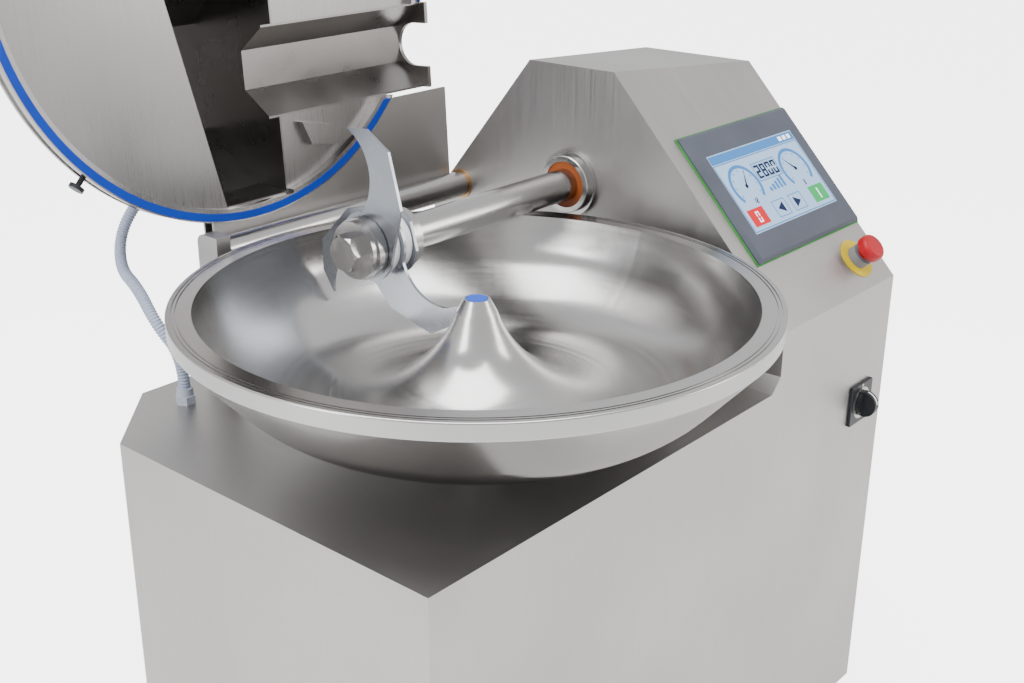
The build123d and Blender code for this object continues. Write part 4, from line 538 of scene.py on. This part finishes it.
def draw_figures():
    """The numbers, needles and arrows, in dark blue."""
    dark = picture_layer(1)
    draw_number(dark, "2800", u=-26.5 * MM, v=8 * MM, width=11 * MM, height=21 * MM, line=3 * MM, gap=3 * MM)
    draw_number(dark, "12", u=-71 * MM, v=-23 * MM, width=4 * MM, height=8 * MM, line=1.1 * MM, gap=1.6 * MM)
    draw_number(dark, "3", u=64 * MM, v=-23 * MM, width=4 * MM, height=8 * MM, line=1.1 * MM, gap=1.6 * MM)
    draw_needle(dark, -GAUGE_ACROSS, LEFT_NEEDLE_TURN)
    draw_needle(dark, GAUGE_ACROSS, RIGHT_NEEDLE_TURN)
    low = ARROW_MIDDLE - ARROW_HALF
    high = ARROW_MIDDLE + ARROW_HALF
    dark.shape([(-ARROW_TIP, ARROW_MIDDLE), (-ARROW_BACK, low), (-ARROW_BACK, high)])
    dark.shape([(ARROW_TIP, ARROW_MIDDLE), (ARROW_BACK, high), (ARROW_BACK, low)])
    colour = screen_colour("picture_dark", (0.004, 0.012, 0.05), 0.05)
    dark.finish("panel_figures", colour, "cabinet", "screen_glass")


def draw_buttons():
    """The stop and start buttons, with white symbols on them and white marks in the title bar."""
    for name, middle, colour in (("panel_stop", -BUTTON_ACROSS, STOP_RED),
                                 ("panel_start", BUTTON_ACROSS, START_GREEN)):
        button = picture_layer(0)
        button.bar(middle - BUTTON_HALF, middle + BUTTON_HALF, BUTTON_LOW, BUTTON_HIGH)
        button.finish(name, screen_colour(name, colour, 0.12), "cabinet", "screen_glass")
    white = picture_layer(1)
    symbol_height = SYMBOL_HIGH - SYMBOL_LOW
    draw_digit(white, "0", u=-86 * MM, v=SYMBOL_LOW, width=8 * MM, height=symbol_height, line=2 * MM)
    white.bar(81 * MM, 83.4 * MM, SYMBOL_LOW, SYMBOL_HIGH)
    for i in range(TITLE_MARK_COUNT):
        left = TITLE_MARK_START + TITLE_MARK_PITCH * i
        white.bar(left, left + TITLE_MARK_WIDTH, TITLE_MARK_LOW, TITLE_MARK_HIGH)
    colour = screen_colour("picture_white", (0.9, 0.92, 0.95), 0.4)
    white.finish("panel_marks", colour, "cabinet", "screen_glass")


# ---------------------------------------------------------------- main switch
INSET_RADIUS = 24 * MM
INSET_WIDTH = 5.5 * MM
SWITCH_MARK_OUT = 27 * MM
SWITCH_MARK_HALF = 2.2 * MM
WING_RADIUS = 19 * MM
WING_LINE_HALF = 1.2 * MM
WING_LINE_RISE = 0.35 * MM
WING_LINE_START = 100
WING_LINE_SWEEP = 70
WING_LINE_STEPS = 16


def switch_layer(centre, low, high):
    return Sheet(centre, (1, 0, 0), (0, 0, 1), low, high)


def make_wing_line(centre_x, centre_z):
    """The white line that runs over the knob's wing."""
    centre_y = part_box("switch_knob")[0][1] + WING_RADIUS
    points = []
    faces = []
    for i in range(WING_LINE_STEPS + 1):
        angle = math.radians(WING_LINE_START + WING_LINE_SWEEP * i / WING_LINE_STEPS)
        for side in (-WING_LINE_HALF, WING_LINE_HALF):
            for rise in (0.0, WING_LINE_RISE):
                radius = WING_RADIUS + rise
                y = centre_y + radius * math.cos(angle)
                z = centre_z + radius * math.sin(angle)
                points.append((centre_x + side, y, z))
    for i in range(WING_LINE_STEPS):
        a = 4 * i
        b = 4 * (i + 1)
        faces.append([a + 1, a + 3, b + 3, b + 1])
        faces.append([a, b, b + 2, a + 2])
        faces.append([a, a + 1, b + 1, b])
        faces.append([a + 2, b + 2, b + 3, a + 3])
    last = 4 * WING_LINE_STEPS
    faces.append([0, 2, 3, 1])
    faces.append([last, last + 1, last + 3, last + 2])
    mesh_piece("switch_line", points, faces, MATERIALS["white_plastic"], "switch")


def make_switch_marks():
    """The bright inset round the switch, its on and off marks, and the line on its wing."""
    low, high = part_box("switch_plate")
    centre = ((low[0] + high[0]) / 2, low[1], (low[2] + high[2]) / 2)
    inset = switch_layer(centre, -0.2 * MM, 0.4 * MM)
    inset.arc(0, 0, INSET_RADIUS, INSET_WIDTH, 0, 360, 48)
    inset.finish("switch_inset", MATERIALS["fastener"], "cabinet", "fastener")
    on_mark = switch_layer(centre, -0.1 * MM, 0.3 * MM)
    on_mark.arc(0, SWITCH_MARK_OUT, SWITCH_MARK_HALF, 0.8 * MM, 0, 360, 20)
    on_mark.finish("switch_on", MATERIALS["white_plastic"], "cabinet", "white_plastic")
    off_mark = switch_layer(centre, -0.1 * MM, 0.3 * MM)
    off_mark.bar(SWITCH_MARK_OUT - 0.5 * MM, SWITCH_MARK_OUT + 0.5 * MM, -SWITCH_MARK_HALF, SWITCH_MARK_HALF)
    off_mark.finish("switch_off", MATERIALS["white_plastic"], "cabinet", "white_plastic")
    make_wing_line(centre[0], centre[2])


# ---------------------------------------------------------------- cable tube
CONDUIT_ROUTE = (
    (-0.3620, 0.2450, 0.7410), (-0.3620, 0.2450, 0.7850), (-0.3820, 0.2650, 0.8280),
    (-0.3720, 0.3120, 0.8630), (-0.3540, 0.3770, 0.8710), (-0.3300, 0.4050, 0.9100),
    (-0.3040, 0.3910, 0.9550), (-0.3000, 0.3457, 0.9837), (-0.3000, 0.3017, 0.9864),
)
CONDUIT_RADIUS = 0.008
CONDUIT_DIP = 0.0011
RIB_PITCH = 0.0042
RINGS_PER_RIB = 6
RING_POINTS = 20


def spline_points(route):
    """Close points along the smooth curve that the route's points control."""
    curve = bpy.data.curves.new("route", "CURVE")
    curve.dimensions = "3D"
    curve.resolution_u = 32
    spline = curve.splines.new("NURBS")
    spline.points.add(len(route) - 1)
    for point, place in zip(spline.points, route):
        point.co = (*place, 1)
    spline.order_u = 3
    spline.use_endpoint_u = True
    holder = bpy.data.objects.new("route", curve)
    mesh = bpy.data.meshes.new_from_object(holder)
    points = [vertex.co.copy() for vertex in mesh.vertices]
    bpy.data.objects.remove(holder)
    bpy.data.meshes.remove(mesh)
    return points


def evenly(points, count):
    """Points at even distances along a chain, and the chain's length."""
    marks = [0.0]
    for a, b in zip(points, points[1:]):
        marks.append(marks[-1] + (b - a).length)
    even = []
    k = 0
    for i in range(count):
        target = marks[-1] * i / (count - 1)
        while k < len(points) - 2 and marks[k + 1] < target:
            k += 1
        share = (target - marks[k]) / (marks[k + 1] - marks[k])
        even.append(points[k].lerp(points[k + 1], share))
    return even, marks[-1]


def make_conduit():
    dense = spline_points(CONDUIT_ROUTE)
    length = evenly(dense, 2)[1]
    count = int(length / RIB_PITCH) * RINGS_PER_RIB + 1
    centres = evenly(dense, count)[0]
    points = []
    faces = []
    side = Vector((1, 0, 0))
    for i, centre in enumerate(centres):
        ahead = (centres[min(i + 1, count - 1)] - centres[max(i - 1, 0)]).normalized()
        side = (side - ahead * side.dot(ahead)).normalized()
        other = ahead.cross(side)
        wave = 0.5 - 0.5 * math.cos(2 * math.pi * i / RINGS_PER_RIB)
        radius = CONDUIT_RADIUS - CONDUIT_DIP * wave
        for k in range(RING_POINTS):
            angle = 2 * math.pi * k / RING_POINTS
            points.append(tuple(centre + (side * math.cos(angle) + other * math.sin(angle)) * radius))
    for i in range(count - 1):
        for k in range(RING_POINTS):
            a = i * RING_POINTS + k
            b = i * RING_POINTS + (k + 1) % RING_POINTS
            faces.append([a, b, b + RING_POINTS, a + RING_POINTS])
    faces.append(list(reversed(range(RING_POINTS))))
    faces.append([(count - 1) * RING_POINTS + k for k in range(RING_POINTS)])
    plastic = MATERIALS["conduit_plastic"]
    tube = mesh_piece("cable_tube", points, faces, plastic, None, True)
    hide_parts("conduit")
    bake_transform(tube)


# ---------------------------------------------------------------- studio
FLOOR_SIZE = 400.0
FLOOR_COLOUR = (0.93, 0.93, 0.93)
FLOOR_GLOW_SEEN = 3.4
FLOOR_GLOW_ON_STEEL = 0.36
SKY_LOW = 1.15
SKY_HIGH = 1.2


def area_light(name, place, target, size, power, colour=(1, 1, 1)):
    data = bpy.data.lights.new(name, "AREA")
    data.shape = "RECTANGLE"
    data.size, data.size_y = size
    data.energy = power
    data.color = colour
    light = bpy.data.objects.new(name, data)
    bpy.context.scene.collection.objects.link(light)
    light.location = place
    aim = Vector(target) - Vector(place)
    light.rotation_euler = aim.to_track_quat("-Z", "Y").to_euler()


def make_sky():
    """Soft light from all round, a little dimmer at the horizon than overhead."""
    world = bpy.data.worlds.new("studio")
    bpy.context.scene.world = world
    world.use_nodes = True
    tree = world.node_tree
    background = tree.nodes["Background"]
    place = tree.nodes.new("ShaderNodeTexCoord").outputs["Generated"]
    split = tree.nodes.new("ShaderNodeSeparateXYZ")
    tree.links.new(place, split.inputs[0])
    level = spread(tree, split.outputs["Z"], 0, 1, 0.0, 0.7)
    low = (SKY_LOW, SKY_LOW, SKY_LOW)
    high = (SKY_HIGH, SKY_HIGH, SKY_HIGH * 1.01)
    tree.links.new(mix_colours(tree, level, low, high), background.inputs["Color"])


def make_studio():
    """A floor that looks white but lights the steel softly, the sky and three lamps."""
    bpy.ops.mesh.primitive_plane_add(size=FLOOR_SIZE, location=(0, 0, 0))
    floor = bpy.context.object
    floor.name = "floor"
    material, shader = new_material("floor", FLOOR_COLOUR, 0.85)
    shader.inputs["Emission Color"].default_value = (1, 1, 1, 1)
    tree = material.node_tree
    seen = tree.nodes.new("ShaderNodeLightPath").outputs["Is Camera Ray"]
    glow = spread(tree, seen, FLOOR_GLOW_ON_STEEL, FLOOR_GLOW_SEEN, 0, 1)
    tree.links.new(glow, shader.inputs["Emission Strength"])
    floor.data.materials.append(material)
    make_sky()
    area_light("top_light", place=(-0.6, -0.2, 3.2), target=(-0.2, 0, 0.9), size=(2.6, 1.6), power=95)
    area_light("left_light", place=(-3.2, 0.4, 2.0), target=(0, 0, 0.9), size=(1.0, 2.4), power=70)
    area_light("right_light", place=(2.4, -3.0, 2.2), target=(0, 0, 0.9), size=(1.2, 2.2), power=60,
               colour=(1.0, 0.97, 0.94))


make_camera()
dress_nodes()
draw_lines()
draw_figures()
draw_buttons()
make_switch_marks()
make_conduit()
make_studio()
